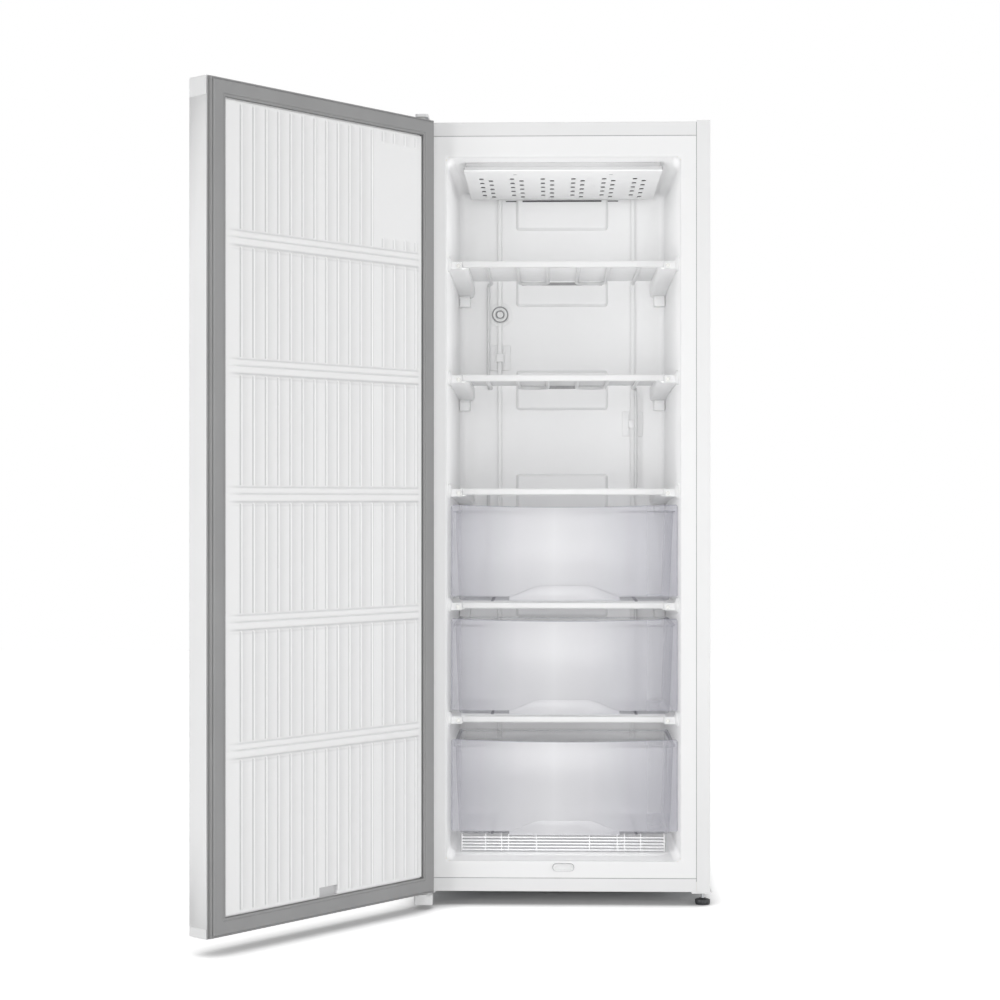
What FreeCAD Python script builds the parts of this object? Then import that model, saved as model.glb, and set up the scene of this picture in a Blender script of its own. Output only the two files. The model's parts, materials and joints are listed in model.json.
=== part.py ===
"""Upright freezer with one swing door, five refrigerated shelves and three clear drawers.

Working frame, in millimetres: X runs across the cabinet from its middle, Y runs from the front
flange towards the back, and Z runs up from the floor. The door is drawn shut and then swung open
about its hinge pins. At the end everything is moved in plan, so that the origin lies on the floor
under the middle of the open freezer's bounding box.
"""

import FreeCAD, Part

import math
import os

Vector = FreeCAD.Vector

# ---------------------------------------------------------------- cabinet
cabinet_width = 600.0
cabinet_height = 1576.5
cabinet_depth = 600.0
foot_height = 29.0
sheet = 0.8
sheet_bend = 0.55
front_flange_width = 27.9
back_flange_width = 16.0
side_lip = 3.0
top_rail_height = 28.0
bottom_rail_height = 27.5
bottom_rail_return = 60.0
top_panel_return = 14.0
seam_gap = 0.3
panel_gap = 0.1
back_bead_count = 4
back_bead_pitch = 110.0
back_bead_width = 14.0
back_bead_depth = 2.5
back_bead_end_margin = 90.0
back_panel_inset = 2.0

# ---------------------------------------------------------------- inner liner
liner_wall = 1.5
side_wall = 60.7
floor_rise = 62.0
ceiling_drop = 74.5
back_wall = 115.0
liner_draft = 6.0
liner_corner_radius = 14.0
mouth_flare = 3.0
mouth_flare_depth = 5.0
step_wall = 33.0
step_cover = 44.0
boss_inset = 60.0
boss_depth = 8.0
boss_rise = 31.0
boss_drop = 50.0
boss_slope = 5.0
top_boss_drop = 66.0

# ---------------------------------------------------------------- refrigerated shelves
shelf_count = 5
lowest_compartment_extra = 14.0
top_compartment = 206.5
shelf_front = 50.0
trim_depth = 10.0
trim_height = 13.5
trim_wall = 1.6
trim_chamfer = 1.5
trim_tube_overlap = 5.0
trim_inset = 31.3
tube_diameter = 8.0
tube_edge = 48.0
tube_run_count = 6
tube_wall_gap = 39.0
tube_sides = 5
tube_bend_steps = 2
small_round_sides = 12
corner_steps = 2
shelf_wire = 2.4
shelf_wire_count = 9
shelf_wire_first = 70.0
shelf_wire_last = 24.0
shelf_wire_overhang = 4.0
wire_sides = 4

# ---------------------------------------------------------------- what carries the shelves
support_width = 40.0
support_front_height = 13.0
support_back_height = 32.0
support_chamfer = 6.0
support_front = 66.5
socket_width = 25.0
socket_height = 22.0
socket_depth = 32.0
clip_arm_height = 17.0
clip_dome_height = 32.0
clip_dome_rise = 10.0
clip_dome_depth = 22.0
clip_dome_thickness = 9.0
clip_arm_depth = 11.0
clip_dome_front = 44.0
clip_dome_sides = 6
clip_hole_radius = 5.5
clip_hole_depth = 8.0
screw_head_radius = 5.0
screw_head_height = 2.5
rest_gap = 0.3
weld = 0.3

# ---------------------------------------------------------------- back wall fittings
post_width = 11.0
post_depth = 6.0
post_left_inset = 19.0
link_tube_offset = 7.0
link_wall_gap = 19.0
link_bend_radius = 9.0
clip_plate_width = 47.0
clip_plate_height = 57.0
clip_plate_depth = 3.0
bridge_side = 3.0
bridge_wall = 1.5
bridge_height = 18.0
left_clip_share = 0.274
right_clip_share = 0.635
grommet_share = 0.692
grommet_radius = 28.0
grommet_ring_radius = 20.5
grommet_core_radius = 12.5
grommet_plate_depth = 2.0
grommet_ring_depth = 4.0
grommet_sides = 16

# ---------------------------------------------------------------- ceiling evaporator and its cover
cover_inset = 33.3
cover_front = 60.0
cover_wall_gap = 15.0
cover_drop = 17.0
cover_thickness = 1.5
cover_lip = 7.0
slot_pair_count = 6
slot_edge = 9.8
slot_column_pitch = 19.8
slot_rows = 5
slot_last_row = 36.0
slot_row_stagger = 27.0
slot_first_row = 175.0
slot_width = 12.0
slot_length = 26.0
cover_screw_inset = 105.5
cover_screw_y = 110.0
cover_pad_radius = 7.0

# ---------------------------------------------------------------- drain
drain_drop = 12.6
drain_tab_width = 42.0
drain_tab_height = 14.5
drain_tab_radius = 6.0
drain_tab_rim = 2.5
drain_tab_depth = 5.0
drain_channel_width = 30.0
drain_channel_height = 9.0
drain_channel_length = 74.0
drain_channel_wall = 1.5
drain_hole_radius = 7.0
drain_hole_y = 58.0
drain_gap = 0.5

# ---------------------------------------------------------------- drawers
drawer_offset = 2.5
drawer_front_y = 43.0
drawer_side_gap = 5.8
drawer_front_clear = 45.5
drawer_front_rise = 12.0
drawer_wall = 2.5
drawer_edge_return = 12.0
drawer_top_dip = 5.0
drawer_arch_width = 228.0
drawer_arch_rise = 23.0
drawer_step_gap = 9.0
tub_inset = 7.5
tub_draft = 7.0
tub_front_setback = 24.0
tub_back_slope = 8.0
tub_clear = 67.5
tub_rim = 3.5
tub_rim_thickness = 3.0
runner_height = 2.0
runner_width = 6.0
runner_spacing = 300.0
runner_front_margin = 8.0
runner_back_margin = 4.0

# ---------------------------------------------------------------- wire stand under the lowest drawer
stand_front = 108.0
stand_step_gap = 18.0
stand_height = 42.0
stand_wire = 3.0
stand_side_gap = 27.3
stand_rails = 5
stand_upright_shares = (1.0, 0.767, 0.608, 0.538, 0.262)
stand_cross_count = 3
stand_cross_margin = 30.0
stand_wire_sides = 4

# ---------------------------------------------------------------- compressor bay
bay_depth = 205.0
bay_height = 212.0
tray_thickness = 2.0
tray_flange = 18.0
tray_bend = 3.0
compressor_radius = 74.0
compressor_sides = 16
compressor_height = 158.0
compressor_x = 90.0
compressor_lift = 16.0
compressor_shoulder = 34.0
compressor_seam_share = 0.45
compressor_crown_share = 0.3
compressor_seam_width = 4.0
compressor_seam_height = 5.0
compressor_shell_step = 2.0
compressor_foot_spread = 176.0
compressor_foot_share = 0.55
compressor_foot_width = 26.0
compressor_foot_thickness = 3.0
grommet_foot_radius = 10.0
grommet_stud_radius = 3.8
grommet_stud_end = 6.0
stud_play = 0.4
stud_sides = 6
terminal_box_width = 30.0
terminal_box_depth = 62.0
terminal_box_height = 70.0
terminal_box_rise = 45.0
terminal_box_chamfer = 6.0
cord_gland_radius = 9.0
cord_gland_length = 12.0
cord_gland_bore = 3.5
cord_gland_taper = 3.0
cord_gland_neck = 6.0
cord_gland_rise = 16.0
drier_radius = 9.5
drier_length = 95.0
drier_taper = 14.0
drier_side = 150.0
drier_back = 70.0
drier_rise = 40.0
pipe_diameter = 6.5
pipe_sides = 5
pipe_bend = 16.0
pipe_side = 24.0
suction_wall_gap = 10.5
suction_bend_share = 0.7
pipe_level = 0.6
pipe_ceiling_gap = 30.0
capillary_diameter = 2.4
capillary_loop = 24.0
thermostat_inset = 85.0
thermostat_width = 80.0
thermostat_height = 72.0
thermostat_depth = 42.0
knob_radius = 16.0
knob_depth = 13.0
knob_shaft_radius = 3.0
knob_flutes = 8
knob_flute_depth = 1.6
knob_shaft_length = 12.0
thermostat_setback = 14.0
thermostat_chamfer = 6.0
knob_gap = 0.3
spin_gap = 0.05

# ---------------------------------------------------------------- condenser on the back
condenser_side_gap = 85.0
condenser_bay_gap = 89.0
condenser_top_gap = 211.5
condenser_run_count = 15
condenser_tube = 5.0
condenser_tube_sides = 4
condenser_standoff = 22.0
condenser_wire = 1.6
condenser_wire_count = 13
condenser_wire_pitch = 30.0
condenser_wire_end = 14.0
bracket_width = 16.0
bracket_thickness = 1.2
bracket_foot_length = 30.0
bracket_run = 2

# ---------------------------------------------------------------- feet and rollers
foot_inset_x = 14.0
foot_y = 25.0
foot_disc_radius = 15.5
foot_disc_height = 13.0
foot_stem_radius = 4.0
foot_flute_count = 8
foot_flute_depth = 1.6
foot_rim = 2.5
foot_plate_thickness = 3.5
foot_plate_width = 42.0
foot_plate_overhang = 4.0
foot_plate_front = 2.0
foot_plate_back = 50.0
roller_radius = 14.0
roller_width = 16.0
roller_axle_radius = 3.0
roller_sides = 24
roller_inset_x = 45.0
roller_inset_y = 40.0
ear_thickness = 2.0
ear_gap = 1.0
ear_reach = 9.0
ear_hole_play = 0.3
ear_corner_share = 0.4

# ---------------------------------------------------------------- door
door_side_gap = 2.0
door_top_gap = 5.5
door_bottom_gap = 4.0
door_thickness = 50.0
door_stand_off = 14.0
door_edge_radius = 5.0
door_return_width = 12.0
door_open_angle = 129.6
top_cap_height = 36.0
bottom_cap_height = 19.0
cap_wall = 2.5
door_liner_margin = 7.0
plateau_overlap = 19.7
plateau_margin_z = 40.0
plateau_corner_radius = 10.0
band_flange_gap = 1.0
plateau_draft = 3.0
rib_count = 16
rib_edge = 25.0
rib_width = 7.0
rib_height = 2.5
rib_end_gap = 4.0
band_count = 5
band_pitch_extra = 0.8
band_drop = 20.0
band_height = 36.0
band_end_gap = 2.0
bead_width = 13.0
bead_height = 3.5
bare_panel_inset = 23.0
bare_panel_width = 110.0
bare_panel_rise = 38.3
drain_notch_clear = 3.0
gasket_width = 32.5
gasket_margin_x = 3.0
gasket_margin_z = 4.2
gasket_base = 3.5
gasket_neck = 3.0
gasket_neck_inset = 5.0
gasket_gap = 0.3
grip_width = 44.0
grip_height = 230.0
grip_depth = 24.0
grip_wall = 1.8
grip_edge_distance = 34.0
grip_rise = 33.5
grip_flange = 5.0
grip_flange_thickness = 1.5

# ---------------------------------------------------------------- hinges
hinge_inset = 9.8
hinge_y = -35.7
pin_radius = 4.0
pin_reach = 14.0
bush_radius = 7.0
bush_length = 16.0
bush_wall = 2.0
collar_radius = 9.0
hinge_plate = 3.0
hinge_arm_width = 25.0
hinge_arm_nose = 12.0
hinge_arm_edge = 1.5
hinge_pad_front = 5.0
hinge_arm_round = 6.0
hinge_arm_lift = 0.5
hinge_side_width = 3.0
hinge_cover_gap = 0.2
hinge_screw_radius = 4.0
hinge_screw_height = 1.0
hinge_foot_length = 60.0
hinge_skirt = 14.0
hinge_cover_height = 5.5
hinge_cover_wall = 1.2
hinge_screw_first = 22.0
hinge_screw_pitch = 26.0

# ---------------------------------------------------------------- places worked out from the sizes
half_width = cabinet_width / 2
body_bottom = foot_height
body_top = foot_height + cabinet_height
top_panel_z = body_top - side_lip
back_panel_y = cabinet_depth
rail_half_width = half_width - front_flange_width - seam_gap
opening_half = half_width - side_wall
opening_bottom = body_bottom + floor_rise
opening_top = body_top - ceiling_drop
liner_depth = cabinet_depth - back_wall
bay_front = cabinet_depth - bay_depth
bay_top = body_bottom + bay_height
step_front = bay_front - step_wall
step_top = bay_top + step_cover

stand_top = opening_bottom + stand_height
shelf_room = opening_top - top_compartment - stand_top - lowest_compartment_extra
shelf_pitch = shelf_room / shelf_count
lowest_shelf_top = stand_top + lowest_compartment_extra + shelf_pitch
shelf_tops = [lowest_shelf_top + n * shelf_pitch for n in range(shelf_count)]
trim_half = opening_half - trim_inset
tube_reach = trim_half - tube_edge
tube_pitch = 2 * tube_reach / (tube_run_count - 1)
tube_back = liner_depth - tube_wall_gap
tube_radius = tube_diameter / 2
shelf_wire_pitch = (tube_back - shelf_wire_last - shelf_wire_first) / (shelf_wire_count - 1)
boss_half = tube_reach - boss_inset
post_right = tube_reach
post_left = post_left_inset - tube_reach
link_tube_back = liner_depth - link_wall_gap
left_clip_centre = shelf_tops[3] + left_clip_share * shelf_pitch
right_clip_centre = shelf_tops[2] + right_clip_share * shelf_pitch
grommet_height = shelf_tops[3] + grommet_share * shelf_pitch

cover_half = opening_half - cover_inset
cover_back = liner_depth - cover_wall_gap
cover_z = opening_top - cover_drop
cover_screw_x = cover_half - cover_screw_inset
slot_pair_pitch = 2 * (cover_half - slot_edge) / slot_pair_count
slot_row_pitch = (cover_back - slot_last_row - slot_row_stagger - slot_first_row) / (slot_rows - 1)
drain_height = opening_bottom - drain_drop

drawer_half = opening_half - drawer_side_gap
drawer_front_height = shelf_pitch - drawer_front_clear
drawer_back = step_front - drawer_step_gap
drawer_supports = [shelf_tops[1], shelf_tops[0], stand_top]
tub_top_half = drawer_half - tub_inset
tub_bottom_half = tub_top_half - tub_draft
tub_height = shelf_pitch - tub_clear
stand_back = step_front - stand_step_gap
stand_half = opening_half - stand_side_gap

thermostat_x = thermostat_inset - half_width
condenser_half = half_width - condenser_side_gap
condenser_bottom = bay_top + condenser_bay_gap
condenser_pitch = (body_top - condenser_top_gap - condenser_bottom) / (condenser_run_count - 1)
roller_x = half_width - roller_inset_x
roller_y = cabinet_depth - roller_inset_y
foot_x = half_width - foot_inset_x

door_half = half_width - door_side_gap
door_bottom = body_bottom + door_bottom_gap
door_top = body_top - door_top_gap
door_inner_y = -door_stand_off
door_outer_y = -door_stand_off - door_thickness
plateau_half = opening_half + plateau_overlap
plateau_bottom = door_bottom + plateau_margin_z
plateau_top = door_top - plateau_margin_z
plateau_face_y = -band_flange_gap - bead_height
rib_pitch = 2 * (plateau_half - rib_edge) / (rib_count - 1)
band_centres = [lowest_shelf_top - band_drop + n * (shelf_pitch + band_pitch_extra) for n in range(band_count)]
bare_panel_left = bare_panel_inset - plateau_half
bare_panel_right = bare_panel_left + bare_panel_width
bare_panel_bottom = band_centres[-1] + bare_panel_rise
grip_middle = (door_bottom + door_top) / 2 + grip_rise
hinge_x = hinge_inset - half_width


# ================================================================ helpers
def block(x0, x1, y0, y1, z0, z1):
    """A box between three pairs of limits."""
    return Part.makeBox(x1 - x0, y1 - y0, z1 - z0, Vector(x0, y0, z0))


def prism(points, travel):
    """A closed outline of points, drawn out along the vector travel."""
    return Part.Face(closed(points)).extrude(travel)


def folded_path(points, radius):
    """A line through the points whose corners are cut by a short straight fold."""
    path = [points[0]]
    for before, corner, after in zip(points, points[1:], points[2:]):
        path.append(corner + (before - corner).normalize() * radius)
        path.append(corner + (after - corner).normalize() * radius)
    path.append(points[-1])
    return Part.makePolygon(path)


def bent_sheet(points, thickness, radius, travel):
    """Folded sheet metal: an open line with narrow folds, thickened to one side and drawn out."""
    return folded_path(points, radius).makeOffset2D(thickness, 2, True, True, False).extrude(travel)


def flat_sheet_outline(points, thickness, radius, travel, inside):
    """A folded sheet whose thickness lies on the side of the point inside."""
    first = bent_sheet(points, thickness, radius, travel)
    second = bent_sheet(points, -thickness, radius, travel)
    far = (first.CenterOfMass - inside).Length
    near = (second.CenterOfMass - inside).Length
    return first if far < near else second


def rounded_rectangle(half, bottom, top, radius, y):
    """Corners of an outline in the plane at y, its rounded corners drawn as a few chords."""
    points = []
    turns = ((half, top, 0), (-half, top, 1), (-half, bottom, 2), (half, bottom, 3))
    for x, z, quarter in turns:
        centre_x = x - math.copysign(radius, x)
        centre_z = z - radius if z == top else z + radius
        for n in range(corner_steps + 1):
            a = math.pi / 2 * (quarter + n / corner_steps)
            points.append(Vector(centre_x + radius * math.cos(a), y, centre_z + radius * math.sin(a)))
    return points


def upright_rectangle(half, bottom, top, y):
    """Corners of a rectangle in the plane at y."""
    return [Vector(-half, y, bottom), Vector(half, y, bottom), Vector(half, y, top), Vector(-half, y, top)]


def rectangle(x0, x1, y0, y1, z):
    """Corners of a rectangle in the level plane at z."""
    return [Vector(x0, y0, z), Vector(x1, y0, z), Vector(x1, y1, z), Vector(x0, y1, z)]


def polygon_points(centre, along, radius, sides):
    """Corners of a regular polygon about centre, square to the direction along."""
    helper = Vector(0, 0, 1) if abs(along.z) < 0.9 else Vector(1, 0, 0)
    u = along.cross(helper).normalize()
    v = along.cross(u).normalize()
    points = []
    for n in range(sides):
        a = 2 * math.pi * (n + 0.5) / sides
        points.append(centre + u * (radius * math.cos(a)) + v * (radius * math.sin(a)))
    return points


def closed(points):
    """A closed wire through the points."""
    return Part.makePolygon(points + [points[0]])


def flat_sided(rings):
    """A solid through rings of corners, with one flat face between each two pairs of corners."""
    faces = [Part.Face(closed(rings[0])), Part.Face(closed(rings[-1]))]
    sides = len(rings[0])
    for ring, following in zip(rings, rings[1:]):
        for n in range(sides):
            m = (n + 1) % sides
            faces.append(Part.Face(closed([ring[n], ring[m], following[m], following[n]])))
    shell = Part.Shell(faces)
    shell.sewShape()
    solid = Part.Solid(shell)
    if solid.Volume < 0:
        solid.reverse()
    return solid


def bar(start, end, diameter, sides):
    """A straight wire of polygonal section, whose flats lie at the given diameter."""
    along = (end - start).normalize()
    radius = diameter / 2 / math.cos(math.pi / sides)
    return Part.Face(closed(polygon_points(start, along, radius, sides))).extrude(end - start)


def bent_line(points, radius, steps):
    """The points of a line whose corners are turned into arcs of a few equal chords."""
    line = [points[0]]
    for before, corner, after in zip(points, points[1:], points[2:]):
        back = (before - corner).normalize()
        ahead = (after - corner).normalize()
        half_angle = back.getAngle(ahead) / 2
        middle = (back + ahead).normalize()
        centre = corner + middle * (radius / math.sin(half_angle))
        first = corner + back * (radius / math.tan(half_angle)) - centre
        last = corner + ahead * (radius / math.tan(half_angle)) - centre
        turn = first.getAngle(last)
        for n in range(steps + 1):
            a = turn * n / steps
            spoke = first * (math.sin(turn - a) / math.sin(turn)) + last * (math.sin(a) / math.sin(turn))
            point = centre + spoke
            if (point - line[-1]).Length > 0.2:
                line.append(point)
    line.append(points[-1])
    return line


def tube(points, diameter, bend_radius, sides, steps=tube_bend_steps):
    """A bent tube, solid inside, of polygonal section, with a mitre wherever the line turns."""
    line = bent_line(points, bend_radius, steps)
    along = (line[1] - line[0]).normalize()
    ring = polygon_points(line[0], along, diameter / 2 / math.cos(math.pi / sides), sides)
    rings = [ring]
    for n in range(1, len(line)):
        along = (line[n] - line[n - 1]).normalize()
        following = (line[n + 1] - line[n]).normalize() if n + 1 < len(line) else along
        mitre = (along + following).normalize()
        ring = [p + along * ((line[n] - p).dot(mitre) / along.dot(mitre)) for p in ring]
        rings.append(ring)
    return flat_sided(rings)


def polygon_rod(start, along, length, radius, sides=small_round_sides):
    """A short round piece drawn as a many-sided prism."""
    return Part.Face(closed(polygon_points(start, along, radius, sides))).extrude(along * length)


def polygon_lathe(centre, along, outline, sides=small_round_sides):
    """A turned piece drawn with flat sides; outline holds pairs of radius and distance along."""
    rings = []
    for radius, distance in outline:
        rings.append(polygon_points(centre + along * distance, along, radius, sides))
    return flat_sided(rings)


def cylinder(x, y, z, radius, length, direction=Vector(0, 0, 1)):
    return Part.makeCylinder(radius, length, Vector(x, y, z), direction)


def fuse(shapes):
    """One solid out of several that touch or overlap, with no leftover inner edges."""
    return shapes[0].multiFuse(shapes[1:]).removeSplitter()


def group(shapes):
    """Several separate solids kept in one node."""
    return Part.makeCompound(shapes)


def mirrored(shape):
    """The same shape on the other side of the middle of the cabinet."""
    return shape.mirror(Vector(0, 0, 0), Vector(1, 0, 0))


# ================================================================ cabinet
def side_panel():
    """Right steel side: one folded sheet with a front flange and a narrower back flange."""
    outline = [
        Vector(half_width - front_flange_width, 0, body_bottom),
        Vector(half_width, 0, body_bottom),
        Vector(half_width, cabinet_depth, body_bottom),
        Vector(half_width - back_flange_width, cabinet_depth, body_bottom),
    ]
    middle = Vector(0, cabinet_depth / 2, body_top / 2)
    return flat_sheet_outline(outline, sheet, sheet_bend, Vector(0, 0, cabinet_height), middle)


def top_panel():
    """Top sheet, folded down at the front as the top rail and at the back as a stiffener."""
    half = half_width - sheet - panel_gap
    outline = [
        Vector(-half, 0, top_panel_z - top_rail_height),
        Vector(-half, 0, top_panel_z),
        Vector(-half, cabinet_depth - sheet - panel_gap, top_panel_z),
        Vector(-half, cabinet_depth - sheet - panel_gap, top_panel_z - top_panel_return),
    ]
    middle = Vector(0, cabinet_depth / 2, body_bottom)
    panel = flat_sheet_outline(outline, sheet, sheet_bend, Vector(2 * half, 0, 0), middle)
    notch = block(rail_half_width, half_width, -1, sheet_bend + sheet, 0, body_top)
    return panel.cut(notch).cut(mirrored(notch))


def bottom_rail():
    """Front bottom rail, folded under the cabinet, with the right foot's plate at its end."""
    zb = body_bottom
    outline = [
        Vector(-rail_half_width, 0, zb + bottom_rail_height),
        Vector(-rail_half_width, 0, zb),
        Vector(-rail_half_width, bottom_rail_return, zb),
    ]
    middle = Vector(0, bottom_rail_return / 2, zb + bottom_rail_height / 2)
    rail = flat_sheet_outline(outline, sheet, sheet_bend, Vector(2 * rail_half_width, 0, 0), middle)
    plate_right = half_width + foot_plate_overhang
    plate = block(
        plate_right - foot_plate_width,
        plate_right,
        foot_plate_front,
        foot_plate_back,
        zb - foot_plate_thickness,
        zb,
    )
    hole = cylinder(foot_x, foot_y, 0, foot_stem_radius + spin_gap, zb + 5)
    return fuse([rail, plate]).cut(hole)


def back_panel():
    """Flat steel back above the compressor bay, stiffened by long upright beads."""
    half = half_width - back_panel_inset
    bottom = bay_top + back_panel_inset
    plate = block(-half, half, back_panel_y, back_panel_y + sheet, bottom, top_panel_z)
    pieces = [plate]
    first = -back_bead_pitch * (back_bead_count - 1) / 2
    for n in range(back_bead_count):
        x = first + n * back_bead_pitch
        outline = [
            Vector(x - back_bead_width / 2, back_panel_y, bottom + back_bead_end_margin),
            Vector(x + back_bead_width / 2, back_panel_y, bottom + back_bead_end_margin),
            Vector(x + back_bead_width / 4, back_panel_y + back_bead_depth, bottom + back_bead_end_margin),
            Vector(x - back_bead_width / 4, back_panel_y + back_bead_depth, bottom + back_bead_end_margin),
        ]
        pieces.append(prism(outline, Vector(0, 0, top_panel_z - bottom - 2 * back_bead_end_margin)))
    return fuse(pieces)


def base_pan():
    """Sheet that closes the foam from below and steps up over the compressor bay."""
    half = half_width - sheet - panel_gap
    z0 = body_bottom + sheet + panel_gap
    outline = [
        Vector(-half, sheet + panel_gap, z0),
        Vector(-half, bay_front, z0),
        Vector(-half, bay_front, bay_top),
        Vector(-half, cabinet_depth - sheet - panel_gap, bay_top),
    ]
    above = Vector(0, 0, body_top)
    return flat_sheet_outline(outline, sheet, sheet_bend, Vector(2 * half, 0, 0), above)


def foam_blank():
    """Everything inside the steel: the foam before the liner is taken out of it."""
    half = half_width - sheet - panel_gap
    z0 = body_bottom + 2 * (sheet + panel_gap)
    back = cabinet_depth - sheet - panel_gap
    inset = sheet + panel_gap
    blank = block(-half, half, liner_wall + panel_gap, back, z0, top_panel_z - inset)
    bay = block(-half, half, bay_front - inset, back, 0, bay_top + inset)
    fold = block(-half, half, 0, sheet_bend + sheet, z0, body_top)
    back_fold = block(-half, half, back - inset, back, top_panel_z - top_panel_return - panel_gap, body_top)
    blank = blank.cut(bay).cut(back_fold)
    return blank.cut(fold.cut(block(-opening_half, opening_half, -1, 10, 0, body_top)))


def liner_hollow(grow):
    """The liner's inside, or its outside when grown by the wall: drafted, stepped and bossed."""
    half = opening_half + grow
    low = opening_bottom - grow
    high = opening_top + grow
    radius = liner_corner_radius + grow
    flare = mouth_flare
    sections = [
        rounded_rectangle(half + flare, low - flare, high + flare, radius + flare, 0),
        rounded_rectangle(half, low, high, radius, mouth_flare_depth),
        rounded_rectangle(
            half - liner_draft,
            low + liner_draft / 2,
            high - liner_draft / 2,
            radius,
            liner_depth + grow,
        ),
    ]
    hollow = flat_sided(sections)
    step = block(
        -half_width,
        half_width,
        step_front + grow,
        cabinet_depth,
        0,
        step_top - grow,
    )
    hollow = hollow.cut(step)
    for bottom, top in boss_spans():
        hollow = hollow.cut(wall_boss(bottom, top, grow))
    return hollow


def boss_spans():
    """Lowest and highest level of each raised field on the back wall."""
    spans = [(top - boss_drop, top + boss_rise) for top in shelf_tops]
    spans.append((cover_z - top_boss_drop, opening_top + 20))
    return spans


def wall_boss(bottom, top, grow):
    """One raised field: a flat-topped pad with sloping sides, pressed forward out of the back wall."""
    face = boss_half - grow
    y_face = liner_depth - boss_depth + grow
    y_root = liner_depth + 20
    slope = boss_slope * (y_root - y_face) / boss_depth
    face_wire = upright_rectangle(face, bottom + grow, top - grow, y_face)
    root_wire = upright_rectangle(face + slope, bottom + grow - slope, top - grow + slope, y_root)
    return flat_sided([face_wire, root_wire])


def inner_liner():
    """Thermoformed white inner box with its front flange, compressor step and back wall fields."""
    flange = block(
        -rail_half_width,
        rail_half_width,
        0,
        liner_wall,
        body_bottom + bottom_rail_height + seam_gap,
        top_panel_z - top_rail_height - seam_gap,
    )
    shell = liner_hollow(liner_wall).fuse(flange)
    shell = shell.cut(liner_hollow(0))
    shell = shell.cut(block(-half_width, half_width, -5, 0, 0, body_top))
    channel = drain_channel_space(drain_gap)
    hole = cylinder(0, drain_hole_y, drain_height, drain_hole_radius, opening_bottom - drain_height + 5)
    return shell.cut(channel).cut(hole).removeSplitter()


def cabinet_foam():
    """Rigid foam between liner and steel, with the drain channel left free."""
    foam = foam_blank().cut(liner_hollow(liner_wall + panel_gap))
    hole = cylinder(0, drain_hole_y, drain_height, drain_hole_radius + 1, opening_bottom - drain_height)
    return foam.cut(drain_channel_space(drain_gap + panel_gap)).cut(hole).Solids[0]


# ================================================================ drain
def drain_channel_space(gap):
    """The room that the pull-out drain channel takes, grown by gap."""
    return block(
        -drain_channel_width / 2 - gap,
        drain_channel_width / 2 + gap,
        -1,
        drain_channel_length + 2 * gap,
        drain_height - drain_channel_height / 2 - gap,
        drain_height + drain_channel_height / 2 + gap,
    )


def drain_spout():
    """Open channel that pulls out at the front to lead melt water off, with a rounded pull tab."""
    half = drain_channel_width / 2
    low = drain_height - drain_channel_height / 2
    high = drain_height + drain_channel_height / 2
    wall = drain_channel_wall
    channel = block(-half, half, 0, drain_channel_length, low, high)
    channel = channel.cut(block(-half + wall, half - wall, wall, drain_channel_length - wall, low + wall, high + 1))
    tab_low = drain_height - drain_tab_height / 2
    tab_high = drain_height + drain_tab_height / 2
    y = -drain_tab_depth
    rim = drain_tab_rim
    tab_wire = rounded_rectangle(drain_tab_width / 2, tab_low, tab_high, drain_tab_radius, y)
    tab = prism(tab_wire, Vector(0, drain_tab_depth, 0))
    hollow_wire = rounded_rectangle(
        drain_tab_width / 2 - rim, tab_low + rim, tab_high - rim, drain_tab_radius - rim, y - 1
    )
    hollow = prism(hollow_wire, Vector(0, drain_tab_depth - 1, 0))
    return fuse([channel, tab]).cut(hollow)


# ================================================================ shelves
def tube_x(run):
    """Place across the shelf of one front-to-back tube run."""
    return (run - (tube_run_count - 1) / 2) * tube_pitch


def serpentine(z, front, back):
    """Centre line points of a tube that goes to and fro, in the level plane at z."""
    points = [Vector(tube_x(0), back, z)]
    for run in range(tube_run_count):
        at_front = run % 2 == 0
        y = front if at_front else back
        points.append(Vector(tube_x(run), y, z))
        if run + 1 < tube_run_count:
            points.append(Vector(tube_x(run + 1), y, z))
    return points


def serpentine_tube(z, front, back):
    """The tube itself, with half-round returns at both ends."""
    bend = tube_pitch / 2 - 0.05
    points = serpentine(z, front, back)
    return tube(points, tube_diameter, bend, tube_sides)


def evaporator_shelf(top):
    """One refrigerated shelf: the bent tube, and the cross wires welded along its upper side."""
    tube_z = top - shelf_wire - tube_radius
    front = shelf_front + trim_depth - trim_tube_overlap + tube_radius
    pieces = [serpentine_tube(tube_z, front, tube_back - tube_radius)]
    half = trim_half + shelf_wire_overhang
    z = top - shelf_wire / 2
    for n in range(shelf_wire_count):
        y = shelf_wire_first + n * shelf_wire_pitch
        pieces.append(bar(Vector(-half, y, z), Vector(half, y, z), shelf_wire, wire_sides))
    return group(pieces)


def shelf_trim(top):
    """White front bar of a shelf: a channel closed to the front, with a rolled upper edge."""
    half = trim_half
    y0 = shelf_front
    y1 = shelf_front + trim_depth
    low = top - trim_height
    c = trim_chamfer
    outline = [
        Vector(-half, y0, low + c),
        Vector(-half, y0 + c, low),
        Vector(-half, y1, low),
        Vector(-half, y1, top),
        Vector(-half, y0 + c, top),
        Vector(-half, y0, top - c),
    ]
    outer = prism(outline, Vector(2 * half, 0, 0))
    inside = half - trim_wall
    inner = block(-inside, inside, y0 + trim_wall, y1 + 1, low + trim_wall, top - trim_wall)
    return outer.cut(inner)


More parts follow.
